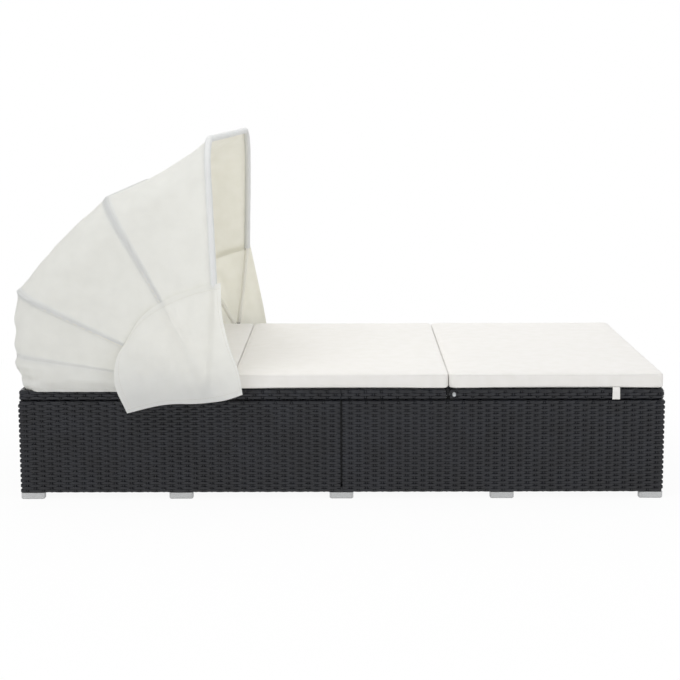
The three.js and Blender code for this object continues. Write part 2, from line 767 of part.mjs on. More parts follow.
// The bracket on a backrest rail, with its welded studs, in the tilting panel's place
function bracket(side) {
  const lean = Math.PI - rearBow.angle;
  const tail = [hoodPlace + bracketReach * Math.cos(lean), hoodRise + bracketReach * Math.sin(lean)];
  const turn = lean + Math.acos((bracketNose - bracketTail) / bracketReach);
  const shape = new THREE.Shape();
  shape.moveTo(hoodPlace - bracketNose, -bracketHalfHeight);
  shape.lineTo(tail[0] + bracketTail, -bracketHalfHeight);
  shape.absarc(tail[0], tail[1], bracketTail, 0, turn);
  shape.absarc(hoodPlace, hoodRise, bracketNose, turn, Math.PI);
  const solid = plate(shape, span(bracketInner, bracketOuter, side));
  const railStuds = railStudPlaces.map((place) => {
    const ys = span(bracketInner - railStudLength, bracketInner + bite, side);
    return pin(place, 0, boltRadius, ys);
  });
  const studYs = span(bracketOuter - bite, bracketOuter + studDepth, side);
  const bowStud = pin(tail[0], tail[1], studRadius, studYs);
  const sunk = span(bracketInner - overrun, bracketInner + sunkHeadHeight + fit, side);
  const through = span(bracketInner - overrun, bracketOuter + overrun, side);
  return cut(joined([solid, ...railStuds, bowStud]), [
    pin(hoodPlace, hoodRise, boltRadius + boltPlay, through),
    pin(hoodPlace, hoodRise, sunkHeadRadius + boltPlay, sunk),
  ]);
}

// The bolt that all four bows turn on, from its sunk head in the bracket to its domed cap
function pivotBolt(side) {
  const capFace = bows[0].place + bowPitch / 2 + fit / 2;
  return joined([
    pin(hoodPlace, hoodRise, boltRadius, span(bracketInner + fit, capFace + bite, side)),
    pin(hoodPlace, hoodRise, sunkHeadRadius, span(bracketInner, bracketInner + sunkHeadHeight, side)),
    dome(hoodPlace, hoodRise, capRadius, capFace, capHeight, side),
  ]);
}

// Fabric: a grid of points given a thickness on the side that rows cross columns
function sheet(grid) {
  const rows = grid.length;
  const columns = grid[0].length;
  const pick = (row, column) =>
    grid[Math.min(Math.max(row, 0), rows - 1)][Math.min(Math.max(column, 0), columns - 1)];
  const places = [];
  for (const lifted of [0, 1]) {
    for (let row = 0; row < rows; row += 1) {
      for (let column = 0; column < columns; column += 1) {
        const along = pick(row + 1, column).clone().sub(pick(row - 1, column));
        const across = pick(row, column + 1).clone().sub(pick(row, column - 1));
        const normal = along.cross(across).normalize();
        const point = pick(row, column).clone().addScaledVector(normal, lifted * clothThickness);
        places.push(...point.toArray());
      }
    }
  }
  const at = (lifted, row, column) => (lifted * rows + row) * columns + column;
  const faces = [];
  const quad = (a, b, c, d) => faces.push(a, b, c, a, c, d);
  for (let row = 0; row < rows - 1; row += 1) {
    for (let column = 0; column < columns - 1; column += 1) {
      const next = [row + 1, column + 1];
      quad(at(1, row, column), at(1, next[0], column), at(1, ...next), at(1, row, next[1]));
      quad(at(0, row, column), at(0, row, next[1]), at(0, ...next), at(0, next[0], column));
    }
    quad(at(0, row, 0), at(0, row + 1, 0), at(1, row + 1, 0), at(1, row, 0));
    const last = columns - 1;
    quad(at(0, row + 1, last), at(0, row, last), at(1, row, last), at(1, row + 1, last));
  }
  for (let column = 0; column < columns - 1; column += 1) {
    const last = rows - 1;
    quad(at(0, 0, column + 1), at(0, 0, column), at(1, 0, column), at(1, 0, column + 1));
    quad(at(0, last, column), at(0, last, column + 1), at(1, last, column + 1), at(1, last, column));
  }
  const geometry = new THREE.BufferGeometry();
  geometry.setAttribute("position", new THREE.Float32BufferAttribute(places, 3));
  geometry.setIndex(faces);
  return solidOf(geometry);
}

// Places along the covered part of a bow, with the way that the fabric lies off it
function stations(bow, start) {
  const top = bow.reach - bow.bend;
  const half = bow.place - bow.bend;
  const list = [];
  for (let cell = 0; cell < legCells; cell += 1) {
    const out = start + ((top - start) * cell) / legCells;
    list.push({ out, across: -bow.place, nOut: 0, nAcross: -1 });
  }
  for (let cell = 0; cell <= bendCells; cell += 1) {
    const turn = (cell / bendCells) * (Math.PI / 2);
    list.push({
      out: top + bow.bend * Math.sin(turn),
      across: -half - bow.bend * Math.cos(turn),
      nOut: Math.sin(turn),
      nAcross: -Math.cos(turn),
    });
  }
  const mirrored = list.map((s) => ({ ...s, across: -s.across, nAcross: -s.nAcross })).reverse();
  const bar = [];
  for (let cell = 1; cell < barCells; cell += 1) {
    bar.push({ out: bow.reach, across: -half + (2 * half * cell) / barCells, nOut: 1, nAcross: 0 });
  }
  return [...list, ...bar, ...mirrored];
}

// A station's point on the fabric, at a turn round the bow's tube from outside to the front
function clothPoint(bow, station, turn = 0) {
  const flat = bowRadius + fit;
  const lift = flat + barClearance * Math.sqrt(station.nOut);
  const distance = turn > 0 ? Math.max(lift, sleeveRadius) : lift;
  const radial = distance * Math.cos(turn);
  const forward = distance * Math.sin(turn);
  const out = station.out + radial * station.nOut;
  const across = station.across + radial * station.nAcross;
  return new THREE.Vector3(
    out * Math.cos(bow.angle) + forward * Math.sin(bow.angle),
    across,
    out * Math.sin(bow.angle) - forward * Math.cos(bow.angle),
  );
}

function gore(front, rear, topSagShare, withSleeve) {
  const frontStations = stations(front, hemRadius);
  const rearStations = stations(rear, hemRadius);
  return frontStations.map((station, index) => {
    const from = clothPoint(front, station);
    const to = clothPoint(rear, rearStations[index]);
    const row = [];
    if (withSleeve) {
      const turns = sleeveTurns.map((turn) => THREE.MathUtils.degToRad(turn));
      row.push(...turns.map((turn) => clothPoint(front, station, turn)));
    }
    const gap = from.distanceTo(to);
    const edge = fit / gap;
    for (let cell = 0; cell <= goreCells; cell += 1) {
      const share = edge + (1 - 2 * edge) * (cell / goreCells);
      const bulge = 4 * share * (1 - share);
      const point = from.clone().lerp(to, share);
      const inward = new THREE.Vector3(point.x, 0, point.z).normalize();
      point.addScaledVector(inward, -topSagShare * gap * bulge * station.nOut);
      point.y -= sideSagShare * gap * bulge * (1 - station.nOut) * Math.sign(station.across);
      row.push(point);
    }
    return row;
  });
}

// The skirt hangs from the rear bow to just above the deck, in small ripples
function skirt() {
  const list = stations(rearBow, skirtRadius);
  return list.map((station, index) => {
    const top = clothPoint(rearBow, station);
    const outward = new THREE.Vector3(-station.nOut, station.nAcross, 0).normalize();
    const bottom = skirtBottom - hoodHeight;
    const wave = Math.sin((index / (list.length - 1)) * skirtRipples * 2 * Math.PI);
    const row = [];
    for (let cell = 0; cell <= skirtCells; cell += 1) {
      const share = cell / skirtCells;
      const point = top.clone();
      point.z = top.z - fit + (bottom - top.z + fit) * share;
      const fullness = skirtBulge * Math.sin(Math.PI * share) - skirtTuck * share;
      point.addScaledVector(outward, fullness + skirtRipple * wave * share);
      row.push(point);
    }
    return row;
  });
}

// A side flap, from the hood's lower edge down past the pivot, with soft vertical folds
function flap() {
  const knots = flapBottomShares.map(([x, z]) => new THREE.Vector3(x * flapReach, 0, z * flapReach));
  const hem = new THREE.CatmullRomCurve3(knots);
  const outer = bows[0].place + bowRadius + fit + clothThickness + fit;
  const columns = [];
  for (let cell = 0; cell <= flapCells; cell += 1) {
    const share = cell / flapCells;
    const angle = THREE.MathUtils.degToRad(flapStartAngle + (flapEndAngle - flapStartAngle) * share);
    const top = new THREE.Vector3(hemRadius * Math.cos(angle), 0, hemRadius * Math.sin(angle));
    columns.push([top, hem.getPoint(share), share]);
  }
  const rows = [];
  for (let cell = 0; cell <= flapCells; cell += 1) {
    const down = cell / flapCells;
    rows.push(
      columns.map(([top, bottom, share]) => {
        const point = top.clone().lerp(bottom, down);
        point.x += flapBulgeShare * (share - 0.5) * flapReach * Math.sin(Math.PI * down);
        const wave = Math.cos(share * flapRipples * 2 * Math.PI);
        point.y = -outer - flapFlare * Math.sqrt(down) - flapRipple * wave * down;
        return point;
      }),
    );
  }
  return rows;
}

function mirroredGrid(grid) {
  return grid.map((row) => row.map((point) => new THREE.Vector3(point.x, -point.y, point.z))).reverse();
}

function addDeck(group) {
  addPiece(group, "seat_frame", seatFrame(), coatedFinish);
  addPiece(group, "seat_deck_weave", seatDeck(), wovenFinish);
  addPiece(group, "seat_cushion", cushion(-seatCushionEnd, seatCushionEnd), cushionFinish);
  for (const [sideName, side] of [["right", -1], ["left", 1]]) {
    addPiece(group, `${sideName}_backrest_hinge_bolt`, hingeBolt(-1, side), zincFinish);
    addPiece(group, `${sideName}_footrest_hinge_bolt`, hingeBolt(1, side), zincFinish);
    addPiece(group, `${sideName}_backrest_rack`, rack(-1, side, backrestTilt), coatedFinish);
    addPiece(group, `${sideName}_footrest_rack`, rack(1, side, footrestTilt), coatedFinish);
  }
}

function tiltGroup(name, end, holes) {
  const group = new THREE.Group();
  group.position.set(hingePlace * end, 0, hingeHeight);
  group.rotation.z = end > 0 ? 0 : Math.PI;
  addPiece(group, `${name}_frame`, tiltFrame(holes), coatedFinish);
  addPiece(group, `${name}_deck_weave`, tiltDeck(holes), wovenFinish);
  const pivot = new THREE.Group();
  pivot.position.set(propPlace, 0, -propDrop);
  addPiece(pivot, `${name}_prop`, prop(), coatedFinish);
  group.add(pivot);
  return group;
}

function hoodGroup() {
  const group = new THREE.Group();
  group.position.set(hoodX, 0, hoodHeight);
  for (const bow of bows) {
    const turned = new THREE.Group();
    turned.rotation.y = -bow.angle;
    addPiece(turned, `hood_${bow.name}_bow`, bowSolid(bow), coatedFinish);
    group.add(turned);
  }
  const [front, middle, lower, rear] = bows;
  const [frontSag, middleSag, rearSag] = topSagShares;
  addPiece(group, "hood_front_gore", sheet(gore(front, middle, frontSag, true)), hoodFinish);
  addPiece(group, "hood_middle_gore", sheet(gore(middle, lower, middleSag, false)), hoodFinish);
  addPiece(group, "hood_rear_gore", sheet(gore(lower, rear, rearSag, false)), hoodFinish);
  addPiece(group, "hood_skirt", sheet(skirt()), hoodFinish);
  const right = flap();
  addPiece(group, "right_hood_flap", sheet(right), hoodFinish);
  addPiece(group, "left_hood_flap", sheet(mirroredGrid(right)), hoodFinish);
  return group;
}

const daybed = new THREE.Group();
addBase(daybed);
addDeck(daybed);

const backrest = tiltGroup("backrest", -1, railStudHoles(boltRadius + boltPlay));
// The backrest's group is turned half round, so its right side is drawn on the positive side.
for (const [sideName, side] of [["right", 1], ["left", -1]]) {
  addPiece(backrest, `${sideName}_hood_bracket`, bracket(side), zincFinish);
  addPiece(backrest, `${sideName}_hood_pivot_bolt`, pivotBolt(side), zincFinish);
}
daybed.add(backrest, hoodGroup());
daybed.add(tiltGroup("footrest", 1, []));
addPiece(daybed, "backrest_cushion", cushion(-backrestCushionEnd, -tiltCushionStart), cushionFinish);
addPiece(daybed, "footrest_cushion", cushion(tiltCushionStart, footrestCushionEnd), cushionFinish);
addPiece(daybed, "right_cushion_strap", strap(-1), cushionFinish);
addPiece(daybed, "left_cushion_strap", strap(1), cushionFinish);

export default daybed;
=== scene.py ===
import json
import math

import bpy
import numpy as np
from mathutils import Matrix, Vector
from mathutils.bvhtree import BVHTree


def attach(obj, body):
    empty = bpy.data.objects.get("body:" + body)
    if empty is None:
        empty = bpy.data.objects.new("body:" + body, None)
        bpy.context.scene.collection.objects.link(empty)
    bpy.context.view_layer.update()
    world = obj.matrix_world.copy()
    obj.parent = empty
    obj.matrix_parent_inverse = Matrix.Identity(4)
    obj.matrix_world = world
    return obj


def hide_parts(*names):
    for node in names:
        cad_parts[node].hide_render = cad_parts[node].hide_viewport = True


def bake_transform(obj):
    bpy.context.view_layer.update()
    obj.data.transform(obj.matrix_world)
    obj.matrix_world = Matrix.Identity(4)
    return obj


# Outdoor daybed with a folding hood. Metres, with the head end towards -X and the floor at Z 0.
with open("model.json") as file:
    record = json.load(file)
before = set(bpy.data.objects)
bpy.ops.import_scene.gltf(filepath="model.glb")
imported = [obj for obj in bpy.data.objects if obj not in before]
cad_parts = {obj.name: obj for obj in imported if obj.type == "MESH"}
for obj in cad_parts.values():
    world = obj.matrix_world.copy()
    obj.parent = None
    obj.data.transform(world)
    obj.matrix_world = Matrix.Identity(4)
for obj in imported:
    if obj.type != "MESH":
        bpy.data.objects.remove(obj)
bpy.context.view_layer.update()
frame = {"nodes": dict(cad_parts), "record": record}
scene = bpy.context.scene
mm = 0.001
bothSides = (("right", -1), ("left", 1))
print("frame loaded:", len(frame["nodes"]), "nodes")


# Camera, at the place and angle that the perspective of the base gives
cameraView = {
    "place": (0.02548, -5.4825, 1.2555),
    "pitch": 0.1524,  # downwards, radians
    "yaw": 0.0058,
    "roll": -0.0034,
    "lens": 85.7,
}


def makeCamera(view):
    data = bpy.data.cameras.new("camera")
    data.lens = view["lens"]
    data.sensor_width = 36
    data.clip_start, data.clip_end = 0.1, 60
    camera = bpy.data.objects.new("camera", data)
    scene.collection.objects.link(camera)
    turn = Matrix.Rotation(view["yaw"], 3, "Z")
    ahead = turn @ Vector((0, math.cos(view["pitch"]), -math.sin(view["pitch"])))
    level = turn @ Vector((1, 0, 0))
    upright = turn @ Vector((0, math.sin(view["pitch"]), math.cos(view["pitch"])))
    c, s = math.cos(view["roll"]), math.sin(view["roll"])
    axes = Matrix((c * level + s * upright, -s * level + c * upright, -ahead)).transposed()
    camera.matrix_world = Matrix.Translation(view["place"]) @ axes.to_4x4()
    scene.camera = camera


makeCamera(cameraView)
scene.view_settings.view_transform = "Standard"
print("camera placed")


# Materials
def linear(hexText):
    channels = [int(hexText[i : i + 2], 16) / 255 for i in (1, 3, 5)]
    return tuple(c / 12.92 if c <= 0.04045 else ((c + 0.055) / 1.055) ** 2.4 for c in channels) + (1.0,)


def addNode(tree, kind, settings, inputs):
    node = tree.nodes.new("ShaderNode" + kind)
    for name, value in settings.items():
        setattr(node, name, value)
    for name, value in inputs.items():
        if isinstance(value, bpy.types.NodeSocket):
            tree.links.new(value, node.inputs[name])
        else:
            node.inputs[name].default_value = value
    return node


def newMaterial(name):
    material = bpy.data.materials.new(name)
    material.use_nodes = True
    tree = material.node_tree
    tree.nodes.clear()
    place = addNode(tree, "TexCoord", {}, {}).outputs["Object"]
    return material, tree, place


def finishMaterial(tree, inputs):
    surface = addNode(tree, "BsdfPrincipled", {}, inputs)
    addNode(tree, "OutputMaterial", {}, {"Surface": surface.outputs["BSDF"]})


def noiseNode(tree, place, size, detail):
    inputs = {"Vector": place, "Scale": 1 / size, "Detail": detail}
    return addNode(tree, "TexNoise", {}, inputs).outputs["Fac"]


def bumpNode(tree, height, strength, distance, under=None):
    inputs = {"Height": height, "Strength": strength, "Distance": distance}
    if under is not None:
        inputs["Normal"] = under
    return addNode(tree, "Bump", {}, inputs).outputs["Normal"]


# A roughness round the look's own, less by the first share and more by the second
def unevenRoughness(tree, look, factor, less, more):
    inputs = {"Value": factor, "To Min": look["roughness"] - less, "To Max": look["roughness"] + more}
    return addNode(tree, "MapRange", {}, inputs).outputs["Result"]


def mathNode(tree, operation, first, second, clamped=False):
    settings = {"operation": operation, "use_clamp": clamped}
    return addNode(tree, "Math", settings, {0: first, 1: second}).outputs[0]


# The look's two shades in soft clouds, and the noise that mixes them
def mottled(tree, place, look, size, detail=3):
    factor = noiseNode(tree, place, size, detail)
    ramp = addNode(tree, "ValToRGB", {}, {"Fac": factor})
    for element, position, shade in zip(ramp.color_ramp.elements, (0.35, 0.65), ("dark", "light")):
        element.position = position
        element.color = linear(look[shade])
    return ramp.outputs["Color"], factor


rattanLook = {
    "dark": "#090a12",
    "light": "#14161e",
    "patch": 60 * mm,  # shade changes from strand to strand
    "streak": 1.2 * mm,  # die lines, drawn coarser than the real 0.3 mm so that they show
    "roughness": 0.3,
}


def makeRattan(look):
    # Extruded polyethylene: satin, a little uneven in shade, with faint lines from the die
    material, tree, place = newMaterial("extruded_polyethylene_rattan")
    colour, _ = mottled(tree, place, look, look["patch"], detail=6)
    streaks = noiseNode(tree, place, look["streak"], 2.0)
    rough = unevenRoughness(tree, look, streaks, 0.06, 0.1)
    bump = bumpNode(tree, streaks, 0.25, 0.3 * mm)
    finishMaterial(tree, {"Base Color": colour, "Roughness": rough, "Normal": bump, "IOR": 1.51})
    return material


coatedLook = {"dark": "#242528", "light": "#2d2e32", "grain": 2.5 * mm, "roughness": 0.42}


def makeCoatedSteel(look):
    # Powder coating: an even dark satin with the faint ripple of the baked powder
    material, tree, place = newMaterial("powder_coated_steel")
    colour, grain = mottled(tree, place, look, look["grain"])
    bump = bumpNode(tree, grain, 0.3, 0.15 * mm)
    inputs = {"Base Color": colour, "Roughness": look["roughness"], "Normal": bump, "IOR": 1.5}
    finishMaterial(tree, inputs)
    return material


zincLook = {"dark": "#aeb1b4", "light": "#cdd0d2", "grain": 6 * mm, "roughness": 0.32}


def makeZincSteel(look):
    # Bright zinc plating: pale blue grey metal, with the cloudy patches of the bath
    material, tree, place = newMaterial("zinc_plated_steel")
    colour, grain = mottled(tree, place, look, look["grain"])
    rough = unevenRoughness(tree, look, grain, 0.08, 0.1)
    finishMaterial(tree, {"Base Color": colour, "Roughness": rough, "Metallic": 1.0})
    return material


glideLook = {"dark": "#bfc0c1", "light": "#d3d4d4", "grain": 3 * mm, "roughness": 0.38}


def makeGlidePlastic(look):
    # Moulded polypropylene: light grey, with a fine spark-eroded grain
    material, tree, place = newMaterial("moulded_polypropylene")
    colour, grain = mottled(tree, place, look, look["grain"], detail=5)
    bump = bumpNode(tree, grain, 0.35, 0.2 * mm)
    inputs = {"Base Color": colour, "Roughness": look["roughness"], "Normal": bump, "IOR": 1.49}
    finishMaterial(tree, inputs)
    return material


def wovenCloth(name, look):
    # Plain weave: two sets of fine threads at right angles, and slubs that change the shade a little
    material, tree, place = newMaterial(name)
    colour, _ = mottled(tree, place, look, look["patch"], detail=4)
    density = math.pi / (10 * look["thread"])
    waves = {"Vector": place, "Scale": density, "Distortion": 0.6, "Detail": 1.0}
    bands = [addNode(tree, "TexWave", {"bands_direction": way}, waves) for way in "XYZ"]
    x, y, z = (band.outputs["Fac"] for band in bands)
    threads = mathNode(tree, "ADD", mathNode(tree, "ADD", x, y), z)
    creases = noiseNode(tree, place, look["crease"], 3.0)
    fine = bumpNode(tree, threads, look["weave"], 0.3 * mm)
    soft = bumpNode(tree, creases, look["creaseDepth"], 6 * mm, fine)
    # Painted shade: where the cloth lies on a dark tube, its colour is mixed towards grey for the tube's
    # shade seen through it
    tube = addNode(tree, "Attribute", {"attribute_name": "paintedTubeShade"}, {}).outputs["Fac"]
    shades = {
        "Factor": mathNode(tree, "MULTIPLY", tube, look["tubeShade"]),
        6: colour,
        7: linear(look["tubeShadeColour"]),
    }
    colour = addNode(tree, "Mix", {"data_type": "RGBA"}, shades).outputs[2]
    face = {
        "Base Color": colour,
        "Roughness": look["roughness"],
        "Normal": soft,
        "IOR": 1.45,
        "Sheen Weight": look["sheen"],
        "Sheen Roughness": 0.5,
    }
    surface = addNode(tree, "BsdfPrincipled", {}, face).outputs["BSDF"]
    through = addNode(tree, "BsdfTranslucent", {}, {"Color": colour, "Normal": soft}).outputs[0]
    mixed = addNode(tree, "MixShader", {}, {0: look["through"], 1: surface, 2: through})
    addNode(tree, "OutputMaterial", {}, {"Surface": mixed.outputs[0]})
    return material


cushionLook = {
    "dark": "#f0eeea",
    "light": "#f3f1ee",
    "patch": 40 * mm,
    "thread": 1.2 * mm,  # the real threads are 0.5 mm apart, drawn coarser so that they show
    "weave": 0.35,
    "crease": 90 * mm,
    "creaseDepth": 0.03,
    "roughness": 0.9,
    "sheen": 0.1,
    # Grey of the painted tube shade, and the share of it that the cloth takes
    "tubeShadeColour": "#9a9c9e",
    "tubeShade": 0.0,
    "through": 0.0,  # share of the light that comes through from behind
}
hoodLook = dict(
    cushionLook,
    dark="#f7f8f7",
    light="#fafbfa",
    thread=1.0 * mm,  # drawn coarser than the real 0.3 mm
    weave=0.22,
    crease=60 * mm,
    creaseDepth=0.05,
    roughness=0.88,
    sheen=0.06,
    tubeShade=0.085,
    through=0.42,
)
# The sleeve's doubled cloth takes more of the painted tube shade, so it is painted greyer
bindingLook = dict(hoodLook, through=0.06, tubeShade=0.17)  # doubled cloth
# Painted light: the inner faces of the hood and the flaps are painted a warmer, lighter white for the
# light that comes through the cloth
litInsideLook = dict(hoodLook, dark="#faf8ef", light="#fdfbf3", through=0.6)
flapLook = dict(litInsideLook, through=0.85)
# The leg covers are painted in the same warmer, lighter white, so that they blend with the flaps
coverLook = dict(litInsideLook, through=0.06, tubeShade=0.0)  # doubled cloth over the legs
threadLook = dict(cushionLook, dark="#e9e8e2", light="#efeee9", patch=4 * mm, creaseDepth=0.0)

rattan = makeRattan(rattanLook)
coatedSteel = makeCoatedSteel(coatedLook)
zincSteel = makeZincSteel(zincLook)
glidePlastic = makeGlidePlastic(glideLook)
cushionCloth = wovenCloth("woven_polyester_cushion_cover", cushionLook)
hoodCloth = wovenCloth("woven_polyester_hood", hoodLook)
hoodBinding = wovenCloth("doubled_polyester_binding", bindingLook)
litHoodInside = wovenCloth("woven_polyester_hood_inside", litInsideLook)
flapInside = wovenCloth("woven_polyester_flap_inside", flapLook)
legCloth = wovenCloth("doubled_polyester_leg_cover", coverLook)
sewingThread = wovenCloth("spun_polyester_thread", threadLook)
print("materials made")


# Meshes from arrays of points and four-cornered faces
def meshPiece(name, points, quads, materials, slotOfFace=None, smooth=True):
    mesh = bpy.data.meshes.new(name)
    mesh.vertices.add(len(points))
    mesh.vertices.foreach_set("co", np.asarray(points, np.float32).ravel())
    corners = np.asarray(quads, np.int32)
    mesh.loops.add(corners.size)
    mesh.loops.foreach_set("vertex_index", corners.ravel())
    mesh.polygons.add(len(corners))
    mesh.polygons.foreach_set("loop_start", np.arange(0, corners.size, 4, dtype=np.int32))
    if slotOfFace is not None:
        mesh.polygons.foreach_set("material_index", np.asarray(slotOfFace, np.int32))
    mesh.update(calc_edges=True)
    mesh.validate()
    mesh.polygons.foreach_set("use_smooth", np.full(len(mesh.polygons), smooth))
    for material in materials:
        mesh.materials.append(material)
    piece = bpy.data.objects.new(name, mesh)
    scene.collection.objects.link(piece)
    return piece


def unit(vectors):
    return vectors / np.maximum(np.linalg.norm(vectors, axis=-1, keepdims=True), 1e-12)


def distancesAlong(line):
    return np.concatenate([[0], np.cumsum(np.linalg.norm(np.diff(line, axis=0), axis=1))])


# A run is a strand: its centre line, the way across it and the way out of the surface
sixSided = np.array([(-1, 0), (-0.62, 1), (0.62, 1), (1, 0), (0.62, -1), (-0.62, -1)], float)
fourSided = np.array([(-1, 0), (0, 1), (1, 0), (0, -1)], float)
sixteenSided = np.array([(-math.cos(k * math.pi / 8), math.sin(k * math.pi / 8)) for k in range(16)])


def sweptRuns(runs, halfWidth, halfThickness, section):
    sides = len(section)
    ring = np.arange(sides)
    after = (ring + 1) % sides
    points, quads, start = [], [], 0
    for line, across, out in runs:
        spread = across[:, None] * section[None, :, 0, None] * halfWidth
        raised = out[:, None] * section[None, :, 1, None] * halfThickness
        points.append((line[:, None] + spread + raised).reshape(-1, 3))
        first = start + sides * np.arange(len(line) - 1)[:, None]
        walls = np.stack(
            [first + ring, first + after, first + sides + after, first + sides + ring], axis=-1
        ).reshape(-1, 4)
        last = start + sides * (len(line) - 1)
        caps = []
        for half in range(sides // 2 - 1):
            a, b, c, d = 0, half * 2 + 1, half * 2 + 2, half * 2 + 3
            caps.append((start + d, start + c, start + b, start + a))
            caps.append((last + a, last + b, last + c, last + d))
        faces = np.concatenate([walls, np.array(caps)])
        middle = len(line) // 2
        ahead = line[min(middle + 1, len(line) - 1)] - line[middle - 1]
        if np.dot(np.cross(across[middle], ahead), out[middle]) < 0:
            faces = faces[:, ::-1]
        quads.append(faces)
        start += sides * len(line)
    return np.concatenate(points), np.concatenate(quads)


def joinedMeshes(parts):
    points, quads, start = [], [], 0
    for partPoints, partQuads in parts:
        points.append(partPoints)
        quads.append(partQuads + start)
        start += len(partPoints)
    return np.concatenate(points), np.concatenate(quads)


# A path of straight lines with rounded corners: its places and the way out of it, on the side given
def roundedPath(corners, radius, step, hand):
    corners = [np.array(c, float) for c in corners]
    sides = [unit(b - a) for a, b in zip(corners[:-1], corners[1:])]
    outs = [hand * np.array((along[1], -along[0])) for along in sides]
    places, ways = [], []
    for index, along in enumerate(sides):
        lead = radius if index else 0
        tail = radius if index < len(sides) - 1 else 0
        length = np.linalg.norm(corners[index + 1] - corners[index]) - lead - tail
        count = max(1, round(length / step))
        for k in range(count + 1):
            places.append(corners[index] + along * (lead + length * k / count))
            ways.append(outs[index])
        if tail:
            centre = corners[index + 1] + (sides[index + 1] - along) * radius
            turns = max(2, round(radius * math.pi / 2 / step))
            for k in range(1, turns):
                angle = k / turns * math.pi / 2
                way = outs[index] * math.cos(angle) + outs[index + 1] * math.sin(angle)
                places.append(centre + way * radius)
                ways.append(way)
    return np.array(places), np.array(ways)


weave = {
    "pitch": 7.9 * mm,
    "stakePitch": 25 * mm,
    "strandWidth": 10 * mm,
    "strandThickness": 2.3 * mm,
    "stakeWidth": 7 * mm,
    "stakeThickness": 1.4 * mm,
    "swing": 2.0 * mm,  # how far a strand moves in and out as it passes the stakes
    "depth": 2.3 * mm,  # middle of the weave under the outer surface
    "flatter": 0.75,  # share of the swing that the rows on a top or an underside lose
    "step": 5 * mm,
    "bandStep": 1.5 * mm,  # steps up a band's profile and along a sheet's path
    "sheetStep": 2 * mm,
    "tightest": 1 * mm,  # smallest radius that a strand turns a corner with
    "stakeEdge": 6 * mm,  # no stake stands closer than this to a corner
    "stakeShort": 2 * mm,  # a stake ends this far before a mitre or a hinge
}


# A woven band: strands follow a plan outline, and rows climb a profile of (inset, height)
def bandRuns(outline, profile, profileRadius, cornerRadius, endTrim=None):
    rows, rowWays = roundedPath(profile, profileRadius, weave["bandStep"], -1)
    lengths = distancesAlong(rows)
    count = round(lengths[-1] / weave["pitch"])
    pitch = lengths[-1] / count
    lines = [(np.array(a, float), np.array(b, float)) for a, b in zip(outline[:-1], outline[1:])]
    starts = np.concatenate([[0], np.cumsum([np.linalg.norm(b - a) for a, b in lines])])
    strands, stakes = [], []

    def atRow(t):
        column = [np.interp(t, lengths, values) for values in (*rows.T, *rowWays.T)]
        return column[0], column[1], unit(np.array(column[2:]))

    for row in range(count):
        inset, height, way = atRow((row + 0.5) * pitch)
        radius = max(cornerRadius - inset, weave["tightest"])
        line, outs, phases = [], [], []
        for index, (a, b) in enumerate(lines):
            along = unit(b - a)
            out = np.array((along[1], -along[0]))
            first, last = index == 0, index == len(lines) - 1
            trim = endTrim(height) if endTrim else 0
            lead = trim if first else inset + radius
            tail = trim if last else inset + radius
            length = np.linalg.norm(b - a)
            for s in np.append(np.arange(lead, length - tail, weave["step"]), length - tail):
                line.append(a + along * s - out * inset)
                outs.append(out)
                phases.append(starts[index] + s)
            if not last:
                nextAlong = unit(lines[index + 1][1] - lines[index + 1][0])
                nextOut = np.array((nextAlong[1], -nextAlong[0]))
                pivot = b - (out + nextOut) * (inset + radius)
                for k in range(1, 4):
                    angle = k * math.pi / 8
                    turned = out * math.cos(angle) + nextOut * math.sin(angle)
                    line.append(pivot + turned * radius)
                    outs.append(turned)
                    phases.append(starts[index + 1] + (k / 4 - 0.5) * 2 * radius)
        line, outs, phases = np.array(line), np.array(outs), np.array(phases)
        flat = np.column_stack([line, np.full(len(line), height)])
        normal = np.column_stack([outs * -way[0], np.full(len(line), way[1])])
        across = np.column_stack([outs * way[1], np.full(len(line), way[0])])
        swing = weave["swing"] * np.cos(math.pi * (phases / weave["stakePitch"] + row))
        swing *= 1 - weave["flatter"] * abs(way[1])
        strands.append((flat + normal * swing[:, None], across, normal))

    ts = np.arange(0.25 * pitch, lengths[-1], pitch / 4)
    insets, heights, ways = (np.array(values) for values in zip(*(atRow(t) for t in ts)))
    for index, (a, b) in enumerate(lines):
        along = unit(b - a)
        out = np.array((along[1], -along[0]))
        length = np.linalg.norm(b - a)
        stake = math.ceil((starts[index] + weave["stakeEdge"]) / weave["stakePitch"])
        while stake * weave["stakePitch"] < starts[index] + length - weave["stakeEdge"]:
            s = stake * weave["stakePitch"] - starts[index]
            room = [s if index else length, length - s if index < len(lines) - 1 else length]
            keep = insets < min(room) - weave["stakeShort"]
            if endTrim and index in (0, len(lines) - 1):
                trims = np.array([endTrim(h) for h in heights])
                keep &= trims < (length - s if index else s) - weave["stakeShort"]
            if keep.sum() > 2:
                place = a + along * s
                flat = np.column_stack([place - out * insets[:, None], heights])
                normal = np.column_stack([-ways[:, :1] * out, ways[:, 1:]])
                swing = -weave["swing"] * math.cos(math.pi * stake)
                swing = swing * np.cos(math.pi * (ts / pitch - 0.5))
                sideways = np.tile(np.append(along, 0.0), (len(ts), 1))
                stakes.append(((flat + normal * swing[:, None])[keep], sideways[keep], normal[keep]))
            stake += 1
    return strands, stakes


